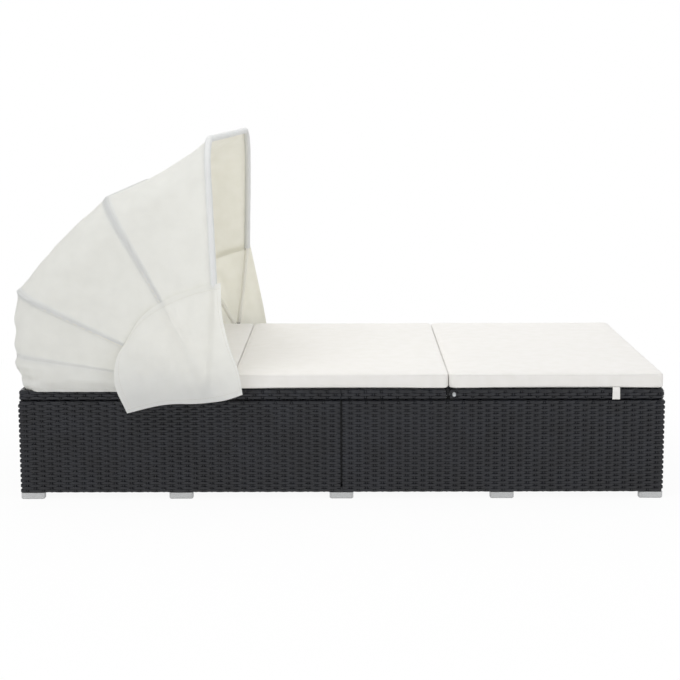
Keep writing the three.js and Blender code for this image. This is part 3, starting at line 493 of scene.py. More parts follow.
# A woven sheet: strands follow a path of (x, height), and stakes cross them along Y
def sheetRuns(path, radius, hand, width):
    step = weave["stakePitch"] / 2
    rows, ways = roundedPath(path, radius, weave["sheetStep"], hand)
    lengths = distancesAlong(rows)
    count = round(width / weave["pitch"])
    pitch = width / count

    def at(ts):
        x, z, wayX, wayZ = (np.interp(ts, lengths, values) for values in (*rows.T, *ways.T))
        zero = np.zeros(len(ts))
        return np.column_stack([x, zero, z]), unit(np.column_stack([wayX, zero, wayZ]))

    places, normals = at(np.arange(0, lengths[-1], step))
    phases = np.arange(len(places)) / 2
    strands, stakes = [], []
    sideways = np.tile((0.0, 1.0, 0.0), (len(places), 1))
    for row in range(count):
        line = places + normals * (weave["swing"] * np.cos(math.pi * (phases + row)))[:, None]
        line[:, 1] = (row + 0.5) * pitch - width / 2
        strands.append((line, sideways, normals))
    rowPlaces = (np.arange(count) + 0.5) * pitch - width / 2
    for stake in range(1, int(lengths[-1] / weave["stakePitch"])):
        place, normal = at(np.array([stake * weave["stakePitch"]]))
        swing = -weave["swing"] * np.cos(math.pi * (stake + np.arange(count)))
        line = place + normal * swing[:, None]
        line[:, 1] = rowPlaces
        along = unit(np.cross(normal[0], (0, 1, 0)))
        stakes.append((line, np.tile(along, (count, 1)), np.tile(normal[0], (count, 1))))
    return strands, stakes


def wovenPiece(name, runs, body, node):
    wide = (weave["strandWidth"] / 2, weave["strandThickness"] / 2)
    narrow = (weave["stakeWidth"] / 2, weave["stakeThickness"] / 2)
    meshes = []
    for (strands, stakes), section in runs:
        meshes.append(sweptRuns(strands, *wide, section))
        meshes.append(sweptRuns(stakes, *narrow, fourSided))
    points, quads = joinedMeshes(meshes)
    piece = meshPiece(name, points, quads, [rattan])
    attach(piece, body)
    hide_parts(node)


base = {
    "halfLength": 1000 * mm,
    "halfWidth": 570 * mm,
    "top": 311 * mm,
    "bottom": 20.3 * mm,
    "centreGap": 3 * mm,
    "lacing": {
        "from": 1 * mm,
        "to": 17 * mm,
        "under": 3.4 * mm,
        "halfWidth": 4.6 * mm,
        "halfDepth": 0.7 * mm,
    },
    "turnIn": 27 * mm,  # how far the weave goes in over the top and the underside
    "past": 2 * mm,  # a side band goes this much further round the corner, up to the end panel
    "endPanel": 540.7 * mm,
    "corner": 6 * mm,
    "edge": 4.5 * mm,
}


def makeBaseWeave(b):
    depth = weave["depth"]
    low, high = b["bottom"] + depth, b["top"] - depth
    profile = [(b["turnIn"], low), (depth, low), (depth, high), (b["turnIn"], high)]
    x, y, gap = b["halfLength"], b["halfWidth"], b["centreGap"]
    join = y - b["turnIn"] - b["past"]
    outlines = {
        "right_foot_side_weave": [(gap, -y), (x, -y), (x, -join)],
        "left_foot_side_weave": [(x, join), (x, y), (gap, y)],
        "right_head_side_weave": [(-x, -join), (-x, -y), (-gap, -y)],
        "left_head_side_weave": [(-gap, y), (-x, y), (-x, join)],
        "foot_end_weave": [(x, -b["endPanel"]), (x, b["endPanel"])],
        "head_end_weave": [(-x, b["endPanel"]), (-x, -b["endPanel"])],
    }
    for node, outline in outlines.items():
        runs = bandRuns(outline, profile, b["edge"], b["corner"])
        wovenPiece(node.replace("_weave", "_strands"), [(runs, sixSided)], "base", node)
    # A strand laced across the foot of the joint between the two side panels
    lace = b["lacing"]
    for sideName, side in bothSides:
        heights = np.linspace(b["bottom"] + lace["from"], b["bottom"] + lace["to"], 5)
        places = np.column_stack([heights * 0, heights * 0 + side * (y - lace["under"]), heights])
        across, out = (np.broadcast_to(way, places.shape) for way in ((1.0, 0, 0), (0, float(side), 0)))
        mesh = sweptRuns([(places, across, out)], lace["halfWidth"], lace["halfDepth"], sixSided)
        lacing = meshPiece(f"{sideName}_joint_lacing", *mesh, [rattan])
        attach(lacing, "base")


makeBaseWeave(base)
print("base woven")


deck = {
    "hinge": 349 * mm,
    "axisHeight": 328.3 * mm,
    "halfHeight": 17 * mm,
    "edge": 565 * mm,
    "seatEnd": 327 * mm,
    "panelEnd": 998 * mm,
    "corner": 9 * mm,
    "round": 6.5 * mm,
    "lip": 20 * mm,
    "border": 12 * mm,  # strip of the top that belongs to the border band
    "crossTube": 13.8 * mm,  # hinge end of the top sheet, behind the hinge axis
    "innerLip": 49 * mm,
}


def makeDeckWeave(d):
    depth = weave["depth"]
    low = d["axisHeight"] - d["halfHeight"] + depth
    high = d["axisHeight"] + d["halfHeight"] - depth
    profile = [(d["lip"], low), (depth, low), (depth, high), (d["border"], high)]
    width = 2 * (d["edge"] - d["border"])
    y = d["edge"]

    def hingeTrim(height):
        off = min(abs(height - d["axisHeight"]) + weave["strandWidth"] / 3, d["halfHeight"])
        return d["halfHeight"] - math.sqrt(d["halfHeight"] ** 2 - off**2)

    end = d["seatEnd"]
    outline = [(0, -y), (end, -y), (end, y), (-end, y), (-end, -y), (0, -y)]
    reach = end - d["border"]
    runs = [
        (bandRuns(outline, profile, d["round"], d["corner"]), sixSided),
        (sheetRuns([(-reach, high), (reach, high)], 0, -1, width), fourSided),
    ]
    wovenPiece("seat_deck_strands", runs, "base", "seat_deck_weave")
    start = d["hinge"] - d["halfHeight"]
    for name, sign in (("backrest", -1), ("footrest", 1)):
        outline = [(start, y), (d["panelEnd"], y), (d["panelEnd"], -y), (start, -y)]
        if sign > 0:
            outline = [(start, -y), (d["panelEnd"], -y), (d["panelEnd"], y), (start, y)]
        outline = [(sign * x, v) for x, v in outline]
        tube = d["hinge"] + d["crossTube"] + depth
        path = [
            (d["hinge"] + d["innerLip"], low),
            (tube, low),
            (tube, high),
            (d["panelEnd"] - d["border"], high),
        ]
        path = [(sign * x, z) for x, z in path]
        runs = [
            (bandRuns(outline, profile, d["round"], d["corner"], hingeTrim), sixSided),
            (sheetRuns(path, d["round"], -sign, width), fourSided),
        ]
        wovenPiece(name + "_deck_strands", runs, name, name + "_deck_weave")


makeDeckWeave(deck)
print("decks woven")


# Cushions: foam in sewn covers, swollen by cloth simulation from a plain shape that is a little smaller
cushion = {
    "ends": {
        "seat": (-332 * mm, 332 * mm),
        "backrest": (-958 * mm, -332.4 * mm),
        "footrest": (332.4 * mm, 1000 * mm),
    },
    "half": 563 * mm,
    "bottom": 345.8 * mm,
    "height": 47.8 * mm,
    "crown": 5.6 * mm,
    "drawIn": 1.0 * mm,  # sides between the corners
    "shrink": 0.9 * mm,
    "corner": 12 * mm,
    "edge": 4 * mm,
    "voxel": 8.5 * mm,
    "pressure": 4.0,
    "stiffness": 15,
    "frames": 20,
    "cap": 3.2 * mm,  # furthest that a point of the cover moves
    "pressed": 12 * mm,  # depth of cushion that its neighbour flattens
    "pressedAtSide": 0.45,  # share of it left at the long sides
    "welt": 1.1 * mm,
    "weltHeights": (5 * mm, 4.4 * mm),  # up from the bottom, and down from the top
    "weltInset": 1.5 * mm,
    "weltProud": 0.2 * mm,
    "bends": {"backrest": (-325 * mm, -420 * mm), "footrest": (325 * mm, 420 * mm)},
}


# One ring of places round a cushion, at an inset and a height
def cushionRing(ends, inset, height, lift=0.0):
    c = cushion
    low, high, half = ends[0] + inset, ends[1] - inset, c["half"] - inset
    centre, reach = (low + high) / 2, (high - low) / 2
    corners = [(high, half), (low, half), (low, -half), (high, -half)]
    radius = max(c["corner"] - inset, 1 * mm)

    def arc(quarter, shares):
        x, y = corners[quarter % 4]
        pivot = np.array([x - math.copysign(radius, x - centre), y - math.copysign(radius, y)])
        turn = (quarter + shares) * math.pi / 2
        return pivot + radius * np.stack([np.cos(turn), np.sin(turn)], axis=-1)

    ring = []
    for quarter in range(4):
        ring.append(arc(quarter, np.linspace(0, 1, 7)))
        start, end = ring[-1][-1], arc(quarter + 1, np.zeros(1))[0]
        ring.append(start + (end - start) * np.linspace(0, 1, 50)[1:-1, None])
    ring = np.concatenate(ring)
    across = 1 - np.clip((ring[:, 0] - centre) / reach, -1, 1) ** 2
    along = 1 - np.clip(ring[:, 1] / half, -1, 1) ** 2
    inX = -np.sign(ring[:, 0] - centre) * along * (1 - across)
    inY = -np.sign(ring[:, 1]) * across * (1 - along)
    ring = ring + c["drawIn"] * np.stack([inX, inY], -1)
    dome = lift * (across * along) ** 0.35
    return np.column_stack([ring, height + dome])


def cushionShape(ends, shrink):
    c = cushion
    low, high = c["bottom"] + shrink, c["bottom"] + c["height"] - shrink
    edge = c["edge"]
    reach = min(0.99 * (ends[1] - ends[0]) / 2, c["half"])
    rises = {0.08: 0.55, 0.25: 0.9, 0.6: 1, 1: 1}  # share of the way in, and share of the crown there
    levels = [(reach * share, low, 0.0) for share in reversed(rises)]
    turns = np.linspace(0, math.pi / 2, 5)
    levels += [(edge * (1 - math.sin(a)), low + edge * (1 - math.cos(a)), 0.0) for a in turns]
    levels += [(edge * (1 - math.cos(a)), high - edge * (1 - math.sin(a)), 0.0) for a in turns]
    levels += [(reach * share, high, c["crown"] * rise) for share, rise in rises.items()]
    rings = [cushionRing(ends, inset + shrink, height, lift) for inset, height, lift in levels]
    return np.stack(rings)


def makeCushion(name, ends):
    c = cushion
    rings = cushionShape(ends, c["shrink"])
    rows, count = rings.shape[:2]
    index = np.arange(rows * count).reshape(rows, count)
    ahead = np.roll(index, -1, axis=1)
    quads = np.stack([index[:-1], ahead[:-1], ahead[1:], index[1:]], axis=-1).reshape(-1, 4)
    half = count // 2
    caps = []
    for row, flip in ((0, True), (rows - 1, False)):
        ring = index[row]
        for k in range(half - 1):
            face = [ring[k], ring[k + 1], ring[count - 2 - k], ring[count - 1 - k]]
            caps.append(face[::-1] if flip else face)
    quads = np.concatenate([quads, caps])
    piece = meshPiece(name + "_cover", rings.reshape(-1, 3), quads, [cushionCloth])
    remesh = piece.modifiers.new("remesh", "REMESH")
    remesh.mode, remesh.voxel_size = "VOXEL", c["voxel"]
    remesh.use_smooth_shade = True
    bake(piece)
    swell(piece, c)
    smooth = piece.modifiers.new("subdivision", "SUBSURF")
    smooth.levels = smooth.render_levels = 1
    bake(piece)
    pressEnds(piece, ends, c)
    piece.data.materials.clear()
    piece.data.materials.append(cushionCloth)
    piece.data.polygons.foreach_set("use_smooth", np.full(len(piece.data.polygons), True))
    return piece


def meetingEnds(ends):
    return [(end, way) for end, way in zip(ends, (-1, 1)) if abs(end) < 0.5]


# Cushions that meet push each other's end faces flat
def pressEnds(piece, ends, c):
    places = meshPlaces(piece.data)
    high = np.abs(places[:, 2] - c["bottom"] - c["height"] / 2)
    share = np.clip((c["half"] - np.abs(places[:, 1])) / (2.5 * c["pressed"]), 0, 1)
    force = c["pressedAtSide"] + (1 - c["pressedAtSide"]) * share
    for end, way in meetingEnds(ends):
        inside = way * (end - places[:, 0])
        slack = np.median(inside[(inside < c["pressed"]) & (high < c["height"] / 4)])
        share = np.clip((inside - slack) / (c["pressed"] - slack), 0, 1)
        pressed = end - way * c["pressed"] * share**1.7
        places[:, 0] += force * np.where(inside < c["pressed"], pressed - places[:, 0], 0)
    piece.data.vertices.foreach_set("co", places.astype(np.float32).ravel())
    piece.data.update()


# A piece's modifiers become its mesh
def bake(piece):
    graph = bpy.context.evaluated_depsgraph_get()
    made = bpy.data.meshes.new_from_object(piece.evaluated_get(graph))
    piece.modifiers.clear()
    old = piece.data
    piece.data = made
    bpy.data.meshes.remove(old)


def meshPlaces(mesh):
    flat = np.empty(len(mesh.vertices) * 3, np.float32)
    mesh.vertices.foreach_get("co", flat)
    return flat.reshape(-1, 3).astype(float)


def swell(piece, c):
    before = meshPlaces(piece.data)
    cloth = piece.modifiers.new("cloth", "CLOTH")
    settings = cloth.settings
    settings.quality = 5
    settings.use_pressure = True
    settings.uniform_pressure_force = c["pressure"]
    settings.tension_stiffness = settings.compression_stiffness = c["stiffness"]
    settings.effector_weights.gravity = 0
    cloth.point_cache.frame_start, cloth.point_cache.frame_end = 1, c["frames"]
    for frameNumber in range(1, c["frames"] + 1):
        scene.frame_set(frameNumber)
    bake(piece)
    scene.frame_set(1)
    move = meshPlaces(piece.data) - before
    length = np.linalg.norm(move, axis=1, keepdims=True)
    move *= np.minimum(1, c["cap"] / np.maximum(length, 1e-9))
    after = before + move
    after[:, 2] = np.maximum(after[:, 2], c["bottom"] - 0.2 * mm)
    piece.data.vertices.foreach_set("co", after.astype(np.float32).ravel())
    piece.data.update()


# A welt along the seams that join the cover's top and bottom to its side band
def makeWelts(name, ends, cover):
    c = cushion
    tree = BVHTree.FromObject(cover, bpy.context.evaluated_depsgraph_get())
    runs = []
    up, down = c["weltHeights"]
    for height in (c["bottom"] + up, c["bottom"] + c["height"] - down):
        places, ways = [], []
        for place in cushionRing(ends, c["weltInset"], height):
            nearest, normal = tree.find_nearest(Vector(place))[:2]
            places.append(np.array(nearest) + np.array(normal) * c["weltProud"])
            ways.append(np.array(normal))
        places, ways = np.array(places), np.array(ways)
        for _ in range(2):
            places = (np.roll(places, 1, axis=0) + 2 * places + np.roll(places, -1, axis=0)) / 4
        for end, way in meetingEnds(ends):
            places[:, 0] -= way * np.maximum(way * (places[:, 0] - end) + c["welt"], 0)
        places = np.vstack([places, places[:2]])
        ways = np.vstack([ways, ways[:2]])
        along = unit(np.gradient(places, axis=0))
        across = unit(np.cross(ways, along))
        runs.append((places, across, unit(np.cross(along, across))))
    points, quads = sweptRuns(runs, c["welt"], c["welt"], sixSided)
    return meshPiece(name + "_welts", points, quads, [cushionCloth])


def makeCushions(c):
    bends = {name: [(x, 0, 0) for x in places] for name, places in c["bends"].items()}
    for name, ends in c["ends"].items():
        cover = makeCushion(f"{name}_cushion", ends)
        welts = makeWelts(f"{name}_cushion", ends, cover)
        for piece in (cover, welts):
            if name in bends:
                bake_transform(piece)
            else:
                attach(piece, "base")
        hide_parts(f"{name}_cushion")
        print(f"{name} cushion made")


makeCushions(cushion)


# Hood: four bows on one pivot at each side, the cloth between them, and two side flaps
hood = {
    "pivot": (-400 * mm, 362.3 * mm),
    "bows": {  # angle in degrees, reach, place of the legs across the width, and bend
        "front": (89.6, 752 * mm, 622.5 * mm, 100 * mm),
        "middle": (119.1, 648 * mm, 607.5 * mm, 100 * mm),
        "lower": (154.4, 648 * mm, 592.5 * mm, 80 * mm),
        "rear": (171.95, 591 * mm, 577.5 * mm, 50 * mm),
    },
    # The front bow's legs give a little: how far forward they stand at distances from the pivot
    "lean": {
        "at": np.array([0, 150, 317, 560, 752]) * mm,
        "near": np.array([0, 8, 14, 3, -6]) * mm,
        "far": np.array([0, 21, 38, 42, 42]) * mm,
    },
    "tube": 7 * mm,
    "hinge": 312 * mm,  # the cloth turns from one bow to the next at this distance from the pivot
    "hems": {"front": 306 * mm, "middle": 286 * mm, "lower": 284 * mm, "rear": 284 * mm},
    "cloth": 1.1 * mm,
    "lift": 7.4 * mm,  # cloth from the middle of a bow's leg
    # More over a crossbar. The cloth hangs loose round the rear one.
    "barLift": {"front": 0.0, "middle": 3 * mm, "lower": 11 * mm, "rear": 13 * mm},
    "along": (26, 16, 56),  # steps of a leg, a bend and the crossbar
    "ridge": 3.2 * mm,  # the cloth dips by this beside each bow
    "ridgeWidth": 26 * mm,
    "slack": 2.6 * mm,  # soft unevenness of the whole cloth
    "slackLengths": (0.19, 0.07),
    "slackEdge": 60 * mm,  # it fades out over this distance from a bow
    # Small gathers at the seams
    "pucker": {"height": 0.55 * mm, "pitch": 23 * mm, "reach": 13 * mm, "clear": 4 * mm},
    "sharp": 55,  # degrees: the edge of a cloth stays crisp
}
gores = {  # sags are shares of the gap between the bows, and humps are the height of two soft rolls
    "hood_front_cloth": {
        "node": "hood_front_gore",
        "bows": ("front", "middle"),
        "bodies": ("middle_bow", "front_bow"),
        "cells": 46,
        "topSag": 0.05,
        "sideSag": 0.02,
        "slack": 1.0,
        "humps": 0.0,
        "folds": [  # from and to, as metres from the near hem and share of the gap; depth; width
            ((0.44, 0.92), (0.20, 0.30), 5 * mm, 30 * mm),
            ((0.46, 0.97), (0.80, 0.30), -5 * mm, 40 * mm),
            ((0.50, 0.06), (0.25, 0.50), -3 * mm, 34 * mm),
            ((0.02, 0.75), (0.16, 0.40), 3 * mm, 26 * mm),
        ],
    },
    "hood_middle_cloth": {
        "node": "hood_middle_gore",
        "bows": ("middle", "lower"),
        "bodies": ("lower_bow", "middle_bow"),
        "cells": 46,
        "topSag": -0.024,
        "sideSag": 0.024,
        "slack": 1.2,
        "humps": 0.0,
        "folds": [
            ((0.40, 0.10), (0.22, 0.62), 4 * mm, 34 * mm),
            ((0.42, 0.90), (0.16, 0.45), -4 * mm, 30 * mm),
            ((0.46, 0.12), (0.80, 0.45), -4 * mm, 40 * mm),
        ],
    },
    "hood_rear_cloth": {
        "node": "hood_rear_gore",
        "bows": ("lower", "rear"),
        "bodies": ("backrest", "lower_bow"),
        "cells": 40,
        "topSag": -0.012,
        "sideSag": 0.02,
        "slack": 1.4,
        "humps": 7.5 * mm,
        "folds": [
            ((0.36, 0.25), (0.10, 0.55), -2.5 * mm, 30 * mm),
            ((0.38, 0.70), (0.18, 0.62), 3 * mm, 24 * mm),
        ],
    },
}


def bowStations(bow, start, cells):
    reach, place, bend = bow[1:]
    top, half = reach - bend, place - bend
    leg = np.linspace(0, 1, cells[0], endpoint=False)
    turn = np.linspace(0, math.pi / 2, cells[1] + 1)
    bar = np.linspace(-1, 1, cells[2] + 1)[1:-1]
    out = np.concatenate([start + (top - start) * leg, top + bend * np.sin(turn)])
    across = np.concatenate([np.full(cells[0], -place), -half - bend * np.cos(turn)])
    nOut = np.concatenate([np.zeros(cells[0]), np.sin(turn)])
    nAcross = np.concatenate([np.full(cells[0], -1.0), -np.cos(turn)])
    return np.stack(
        [
            np.concatenate([out, np.full(len(bar), reach), out[::-1]]),
            np.concatenate([across, bar * half, -across[::-1]]),
            np.concatenate([nOut, np.ones(len(bar)), nOut[::-1]]),
            np.concatenate([nAcross, np.zeros(len(bar)), -nAcross[::-1]]),
        ]
    )


def frontLean(far, across):
    lean = hood["lean"]
    near, away = (np.interp(far, lean["at"], lean[side]) for side in ("near", "far"))
    share = np.clip(across / hood["bows"]["front"][2] / 2 + 0.5, 0, 1)
    return near + (away - near) * share


# Places near a bow, by distance off the tube's middle and turn round it from outside to the front
def bowPlaces(name, stations, distance, turn=0.0):
    out, across, nOut, nAcross = stations
    angle = math.radians(hood["bows"][name][0])
    radial, ahead = distance * np.cos(turn), distance * np.sin(turn)
    far = out + radial * nOut
    x = hood["pivot"][0] + far * math.cos(angle) + ahead * math.sin(angle)
    z = hood["pivot"][1] + far * math.sin(angle) - ahead * math.cos(angle)
    if name == "front":
        x = x + frontLean(out, across)
    return np.stack([x, across + radial * nAcross, z], axis=-1)


def clothStations(name):
    return bowStations(hood["bows"][name], hood["hems"][name], hood["along"])


def clothPlaces(name, stations):
    return bowPlaces(name, stations, hood["lift"] + hood["barLift"][name] * stations[2] ** 2)


# Soft unevenness: waves of several lengths and directions, the same at each run
def softNoise(places, length, seed):
    random = np.random.default_rng(seed)
    total = np.zeros(places.shape[:-1])
    for k in range(14):
        way = unit(random.normal(size=3)) * 2 * math.pi / (length * random.uniform(0.6, 1.7))
        total += np.sin(places @ way + random.uniform(0, 2 * math.pi))
    return total / 14 * 2.2


def foldHeight(s, v, span, total, folds):
    height = np.zeros_like(s)
    for first, last, depth, width in folds:
        for mirrored in (False, True):
            a = np.array([total - first[0] if mirrored else first[0], first[1] * span])
            b = np.array([total - last[0] if mirrored else last[0], last[1] * span])
            along = b - a
            t = np.clip(((s - a[0]) * along[0] + (v * span - a[1]) * along[1]) / (along @ along), 0, 1)
            off = np.hypot(s - a[0] - t * along[0], v * span - a[1] - t * along[1])
            fade = np.sin(math.pi * np.clip(t, 0.04, 0.96)) ** 0.6
            height += depth * (0.7 if mirrored else 1.0) * fade * np.exp(-((off / width) ** 2))
    return height


# The grids run so that rows cross columns on the outer side
def outwards(grid):
    return unit(np.cross(np.gradient(grid, axis=0), np.gradient(grid, axis=1)))


# A closed sheet from a grid of places: both faces and the edge all round
def clothPiece(name, grid, thickness, materials, slotsOfSides=(0, 0), paintedTubeShade=None):
    normal = outwards(grid)
    rows, columns = grid.shape[:2]
    count = rows * columns
    points = np.concatenate([(grid + normal * side * thickness / 2).reshape(-1, 3) for side in (1, -1)])
    index = np.arange(count).reshape(rows, columns)
    corners = [index[:-1, :-1], index[1:, :-1], index[1:, 1:], index[:-1, 1:]]
    front = np.stack(corners, -1).reshape(-1, 4)
    ring = np.concatenate([index[:-1, 0], index[-1, :-1], index[:0:-1, -1], index[0, :0:-1]])
    after = np.roll(ring, -1)
    edge = np.stack([after, ring, ring + count, after + count], axis=-1)
    quads = np.concatenate([front, front[:, ::-1] + count, edge])
    slots = np.full(len(quads), slotsOfSides[0])
    slots[len(front) : 2 * len(front)] = slotsOfSides[1]
    piece = meshPiece(name, points, quads, materials, slots)
    piece.data.set_sharp_from_angle(angle=math.radians(hood["sharp"]))
    # A share of painted tube shade at each point, for the cloth's material
    if paintedTubeShade is not None:
        shade = np.broadcast_to(paintedTubeShade, (rows, columns)).ravel()
        attribute = piece.data.attributes.new("paintedTubeShade", "FLOAT", "POINT")
        attribute.data.foreach_set("value", np.concatenate([shade, shade]).astype(np.float32))
    return piece


def goreGrid(g):
    starts = [clothStations(name) for name in g["bows"]]
    ends = [clothPlaces(name, stations) for name, stations in zip(g["bows"], starts)]
    v = np.linspace(0, 1, g["cells"] + 1)
    grid = ends[0][:, None] * (1 - v[:, None]) + ends[1][:, None] * v[:, None]
    gap = np.linalg.norm(ends[1] - ends[0], axis=-1)
    s = distancesAlong(ends[1])[:, None] * np.ones_like(v)
    nOut = starts[0][2][:, None] ** 2
    bulge = 4 * v * (1 - v)
    height = -g["topSag"] * gap[:, None] * bulge * nOut
    height -= g["sideSag"] * gap[:, None] * bulge * (1 - nOut)
    toBow = np.minimum(v, 1 - v) * gap[:, None]
    off = toBow / hood["ridgeWidth"]
    height -= 1.6 * hood["ridge"] * (1 - np.exp(-2.2 * off)) * np.exp(-off / 3)
    height += g["humps"] * np.sin(2 * math.pi * v**1.5) ** 2 * nOut
    edges = np.minimum(1, toBow / hood["slackEdge"])
    slack, (broad, narrow) = hood["slack"] * g["slack"], hood["slackLengths"]
    height += slack * (softNoise(grid, broad, 3) + 0.35 * softNoise(grid, narrow, 5)) * edges
    height += foldHeight(s, v, float(gap.mean()), float(s.max()), g["folds"]) * edges
    p = hood["pucker"]
    pucker = p["height"] * np.sin(2 * math.pi * s / p["pitch"] + 2 * softNoise(grid, 0.12, 8))
    height += pucker * np.exp(-toBow / p["reach"]) * np.minimum(1, toBow / p["clear"])
    return grid + outwards(grid) * height[..., None]


goreGrids = {name: goreGrid(g) for name, g in gores.items()}


def makeGores():
    for name, g in gores.items():
        grid = goreGrids[name]
        piece = clothPiece(name, grid, hood["cloth"], [hoodCloth, litHoodInside], (0, 1))
        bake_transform(piece)
        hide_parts(g["node"])


def ringMesh(centre, profile, sides):
    turn = np.arange(sides) * 2 * math.pi / sides
    radius, depth = np.array(profile).T
    x = centre[0] + radius * np.cos(turn)[:, None]
    z = centre[1] + radius * np.sin(turn)[:, None]
    points = np.stack([x, np.broadcast_to(depth, x.shape), z], axis=-1).reshape(-1, 3)
    index = np.arange(sides * len(profile)).reshape(sides, len(profile))
    ahead, up = np.roll(index, -1, axis=0), np.roll(index, -1, axis=1)
    quads = np.stack([index, up, np.roll(ahead, -1, axis=1), ahead], axis=-1).reshape(-1, 4)
    return points, quads


eye = {  # the rings that the bows' legs end in
    "radius": 11 * mm,
    "bore": 4.35 * mm,
    "half": 7.35 * mm,
    "bevel": 0.8 * mm,
    "start": 9.5 * mm,
    "along": (12, 16, 24),
    "sides": 32,
}
bowBodies = {"front": "front_bow", "middle": "middle_bow", "lower": "lower_bow", "rear": "backrest"}


def makeBows():
    for name, bow in hood["bows"].items():
        stations = bowStations(bow, eye["start"], eye["along"])
        line = bowPlaces(name, stations, 0.0)
        out = unit(bowPlaces(name, stations, 1.0) - line)
        ahead = unit(bowPlaces(name, stations, 1.0, math.pi / 2) - line)
        parts = [sweptRuns([(line, ahead, out)], hood["tube"], hood["tube"], sixteenSided)]
        for side in (-1, 1):
            low, high = bow[2] - eye["half"], bow[2] + eye["half"]
            profile = [
                (eye["bore"], low),
                (eye["bore"], high),
                (eye["radius"] - eye["bevel"], high),
                (eye["radius"], high - eye["bevel"]),
                (eye["radius"], low + eye["bevel"]),
                (eye["radius"] - eye["bevel"], low),
            ]
            if side < 0:
                profile = [(r, -y) for r, y in profile][::-1]
            parts.append(ringMesh(hood["pivot"], profile, eye["sides"]))
        piece = meshPiece(f"hood_{name}_bow_tube", *joinedMeshes(parts), [coatedSteel])
        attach(piece, bowBodies[name])
        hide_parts(f"hood_{name}_bow")


# Small stitches along a line of places, each a short thread that lies on the cloth
def stitchMesh(line, normal, pitch=5 * mm, length=3.4 * mm, radius=0.45 * mm):
    steps = distancesAlong(line)
    marks = np.arange(pitch / 2, steps[-1] - pitch / 2, pitch)
    runs = []
    for mark in marks:
        at = mark + np.array([-0.5, 0, 0.5]) * length
        places = np.stack([np.interp(at, steps, line[:, k]) for k in range(3)], axis=-1)
        ways = unit(np.stack([np.interp(at, steps, normal[:, k]) for k in range(3)], axis=-1))
        along = unit(places[-1:] - places[:1])
        places = places + ways * np.array([0, 0.3, 0])[:, None] * mm
        runs.append((places, np.cross(ways, along), ways))
    return sweptRuns(runs, radius, radius, fourSided)


def stitches(name, lines, place):
    piece = meshPiece(name, *joinedMeshes([stitchMesh(*line) for line in lines]), [sewingThread])
    place(piece)
    return piece


# Lines on the outer face of a cloth, and the way out of it along them
def seamLines(grid, thickness, picks):
    normal = outwards(grid)
    face = grid + normal * thickness / 2
    return [(face[pick], normal[pick]) for pick in picks]


pocket = {"columns": 3, "cloth": 0.5 * mm, "rise": 0.9 * mm, "shade": 0.75}


# Pocket strip sewn over a bow, on the cloth at both sides of it
def makePocket(name, columns, body):
    normal = outwards(columns)
    grid = columns + normal * pocket["rise"]
    width = np.linspace(-1, 1, grid.shape[1])
    grid = grid - normal * (0.75 * pocket["rise"] * np.abs(width) ** 6)[:, None]
    # Painted shade: the strip is darkened along its middle, over the bow's tube
    shade = pocket["shade"] * np.clip(1.3 - 1.7 * np.abs(width), 0, 1)
    piece = clothPiece(name, grid, pocket["cloth"], [hoodCloth], paintedTubeShade=shade)
    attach(piece, body)
    top = grid + outwards(grid) * pocket["cloth"] / 2
    lines = [(top[:, column], normal[:, column]) for column in (1, -2)]
    thread = stitches(name.replace("pocket", "stitches"), lines, lambda made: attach(made, body))


skirt = {
    "bottom": (342.5 * mm, 346.4 * mm),  # beside the rail, and on the deck at the head end
    "tuck": (9 * mm, 25 * mm),
    "bulge": 10 * mm,
    "ripple": 4.5 * mm,
    "crumple": 7 * mm,
    "cells": 22,
    "along": (34, 22, 96),
    "seam": -4,  # the column of the cloth that the hem's stitches follow
    "corner": {"share": 0.185, "width": 90 * mm},  # where the crumples are, as a share of the length
    "waves": (55 * mm, 75 * mm),
    "drift": 2.2 * mm,
}


def skirtGrid(k):
    stations = bowStations(hood["bows"]["rear"], hood["hems"]["rear"], k["along"])
    top = clothPlaces("rear", stations)
    v = np.linspace(0, 1, k["cells"] + 1)
    outward = unit(np.stack([-stations[2], stations[3], np.zeros(top.shape[0])], axis=-1))
    s = distancesAlong(top)
    ends = np.minimum(s, s[-1] - s)
    corner = np.exp(-(((ends - s[-1] * k["corner"]["share"]) / k["corner"]["width"]) ** 2))
    grid = np.repeat(top[:, None], len(v), axis=1)
    atHead = np.clip(2 * stations[2], 0, 1)[:, None]
    bottom, tuck = (low + (high - low) * atHead for low, high in (k["bottom"], k["tuck"]))
    grid[..., 2] += (bottom - top[:, None, 2]) * v
    wave = softNoise(np.stack([s, 0 * s, 0 * s], -1), k["waves"][0], 11)
    drift = softNoise(grid * np.array([1, 1, 2.2]), k["waves"][1], 12)
    full = k["bulge"] * np.sin(math.pi * v) - tuck * v
    push = full + k["ripple"] * wave[:, None] * v + k["drift"] * drift * np.sin(math.pi * v) ** 0.5
    crease = np.sin(v * 2.6 * math.pi + 0.9 * drift)
    push = push + k["crumple"] * corner[:, None] * crease * np.sin(math.pi * v) ** 0.7
    return grid + outward[:, None] * push[..., None]


def makeSkirt(k):
    grid = skirtGrid(k)
    piece = clothPiece("hood_skirt_cloth", grid, hood["cloth"], [hoodCloth, litHoodInside], (0, 1))
    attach(piece, "backrest")
    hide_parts("hood_skirt")
    lines = seamLines(grid, hood["cloth"], [np.s_[:, k["seam"]]])
    thread = stitches("hood_skirt_stitches", lines, lambda made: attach(made, "backrest"))


def makePockets():
    n = pocket["columns"]
    front, middle, rear = (goreGrids[f"hood_{name}_cloth"] for name in ("front", "middle", "rear"))
    joins = {
        "middle": (front, middle, "middle_bow"),
        "lower": (middle, rear, "lower_bow"),
    }
    for name, (ahead, behind, body) in joins.items():
        columns = np.concatenate([ahead[:, -n:], behind[:, 1:n]], axis=1)
        makePocket(f"hood_{name}_pocket", columns, body)
    # The rear bow's strip is on the rear gore alone: the skirt hangs from its lower edge
    makePocket("hood_rear_pocket", rear[:, -n - 1 :], "backrest")


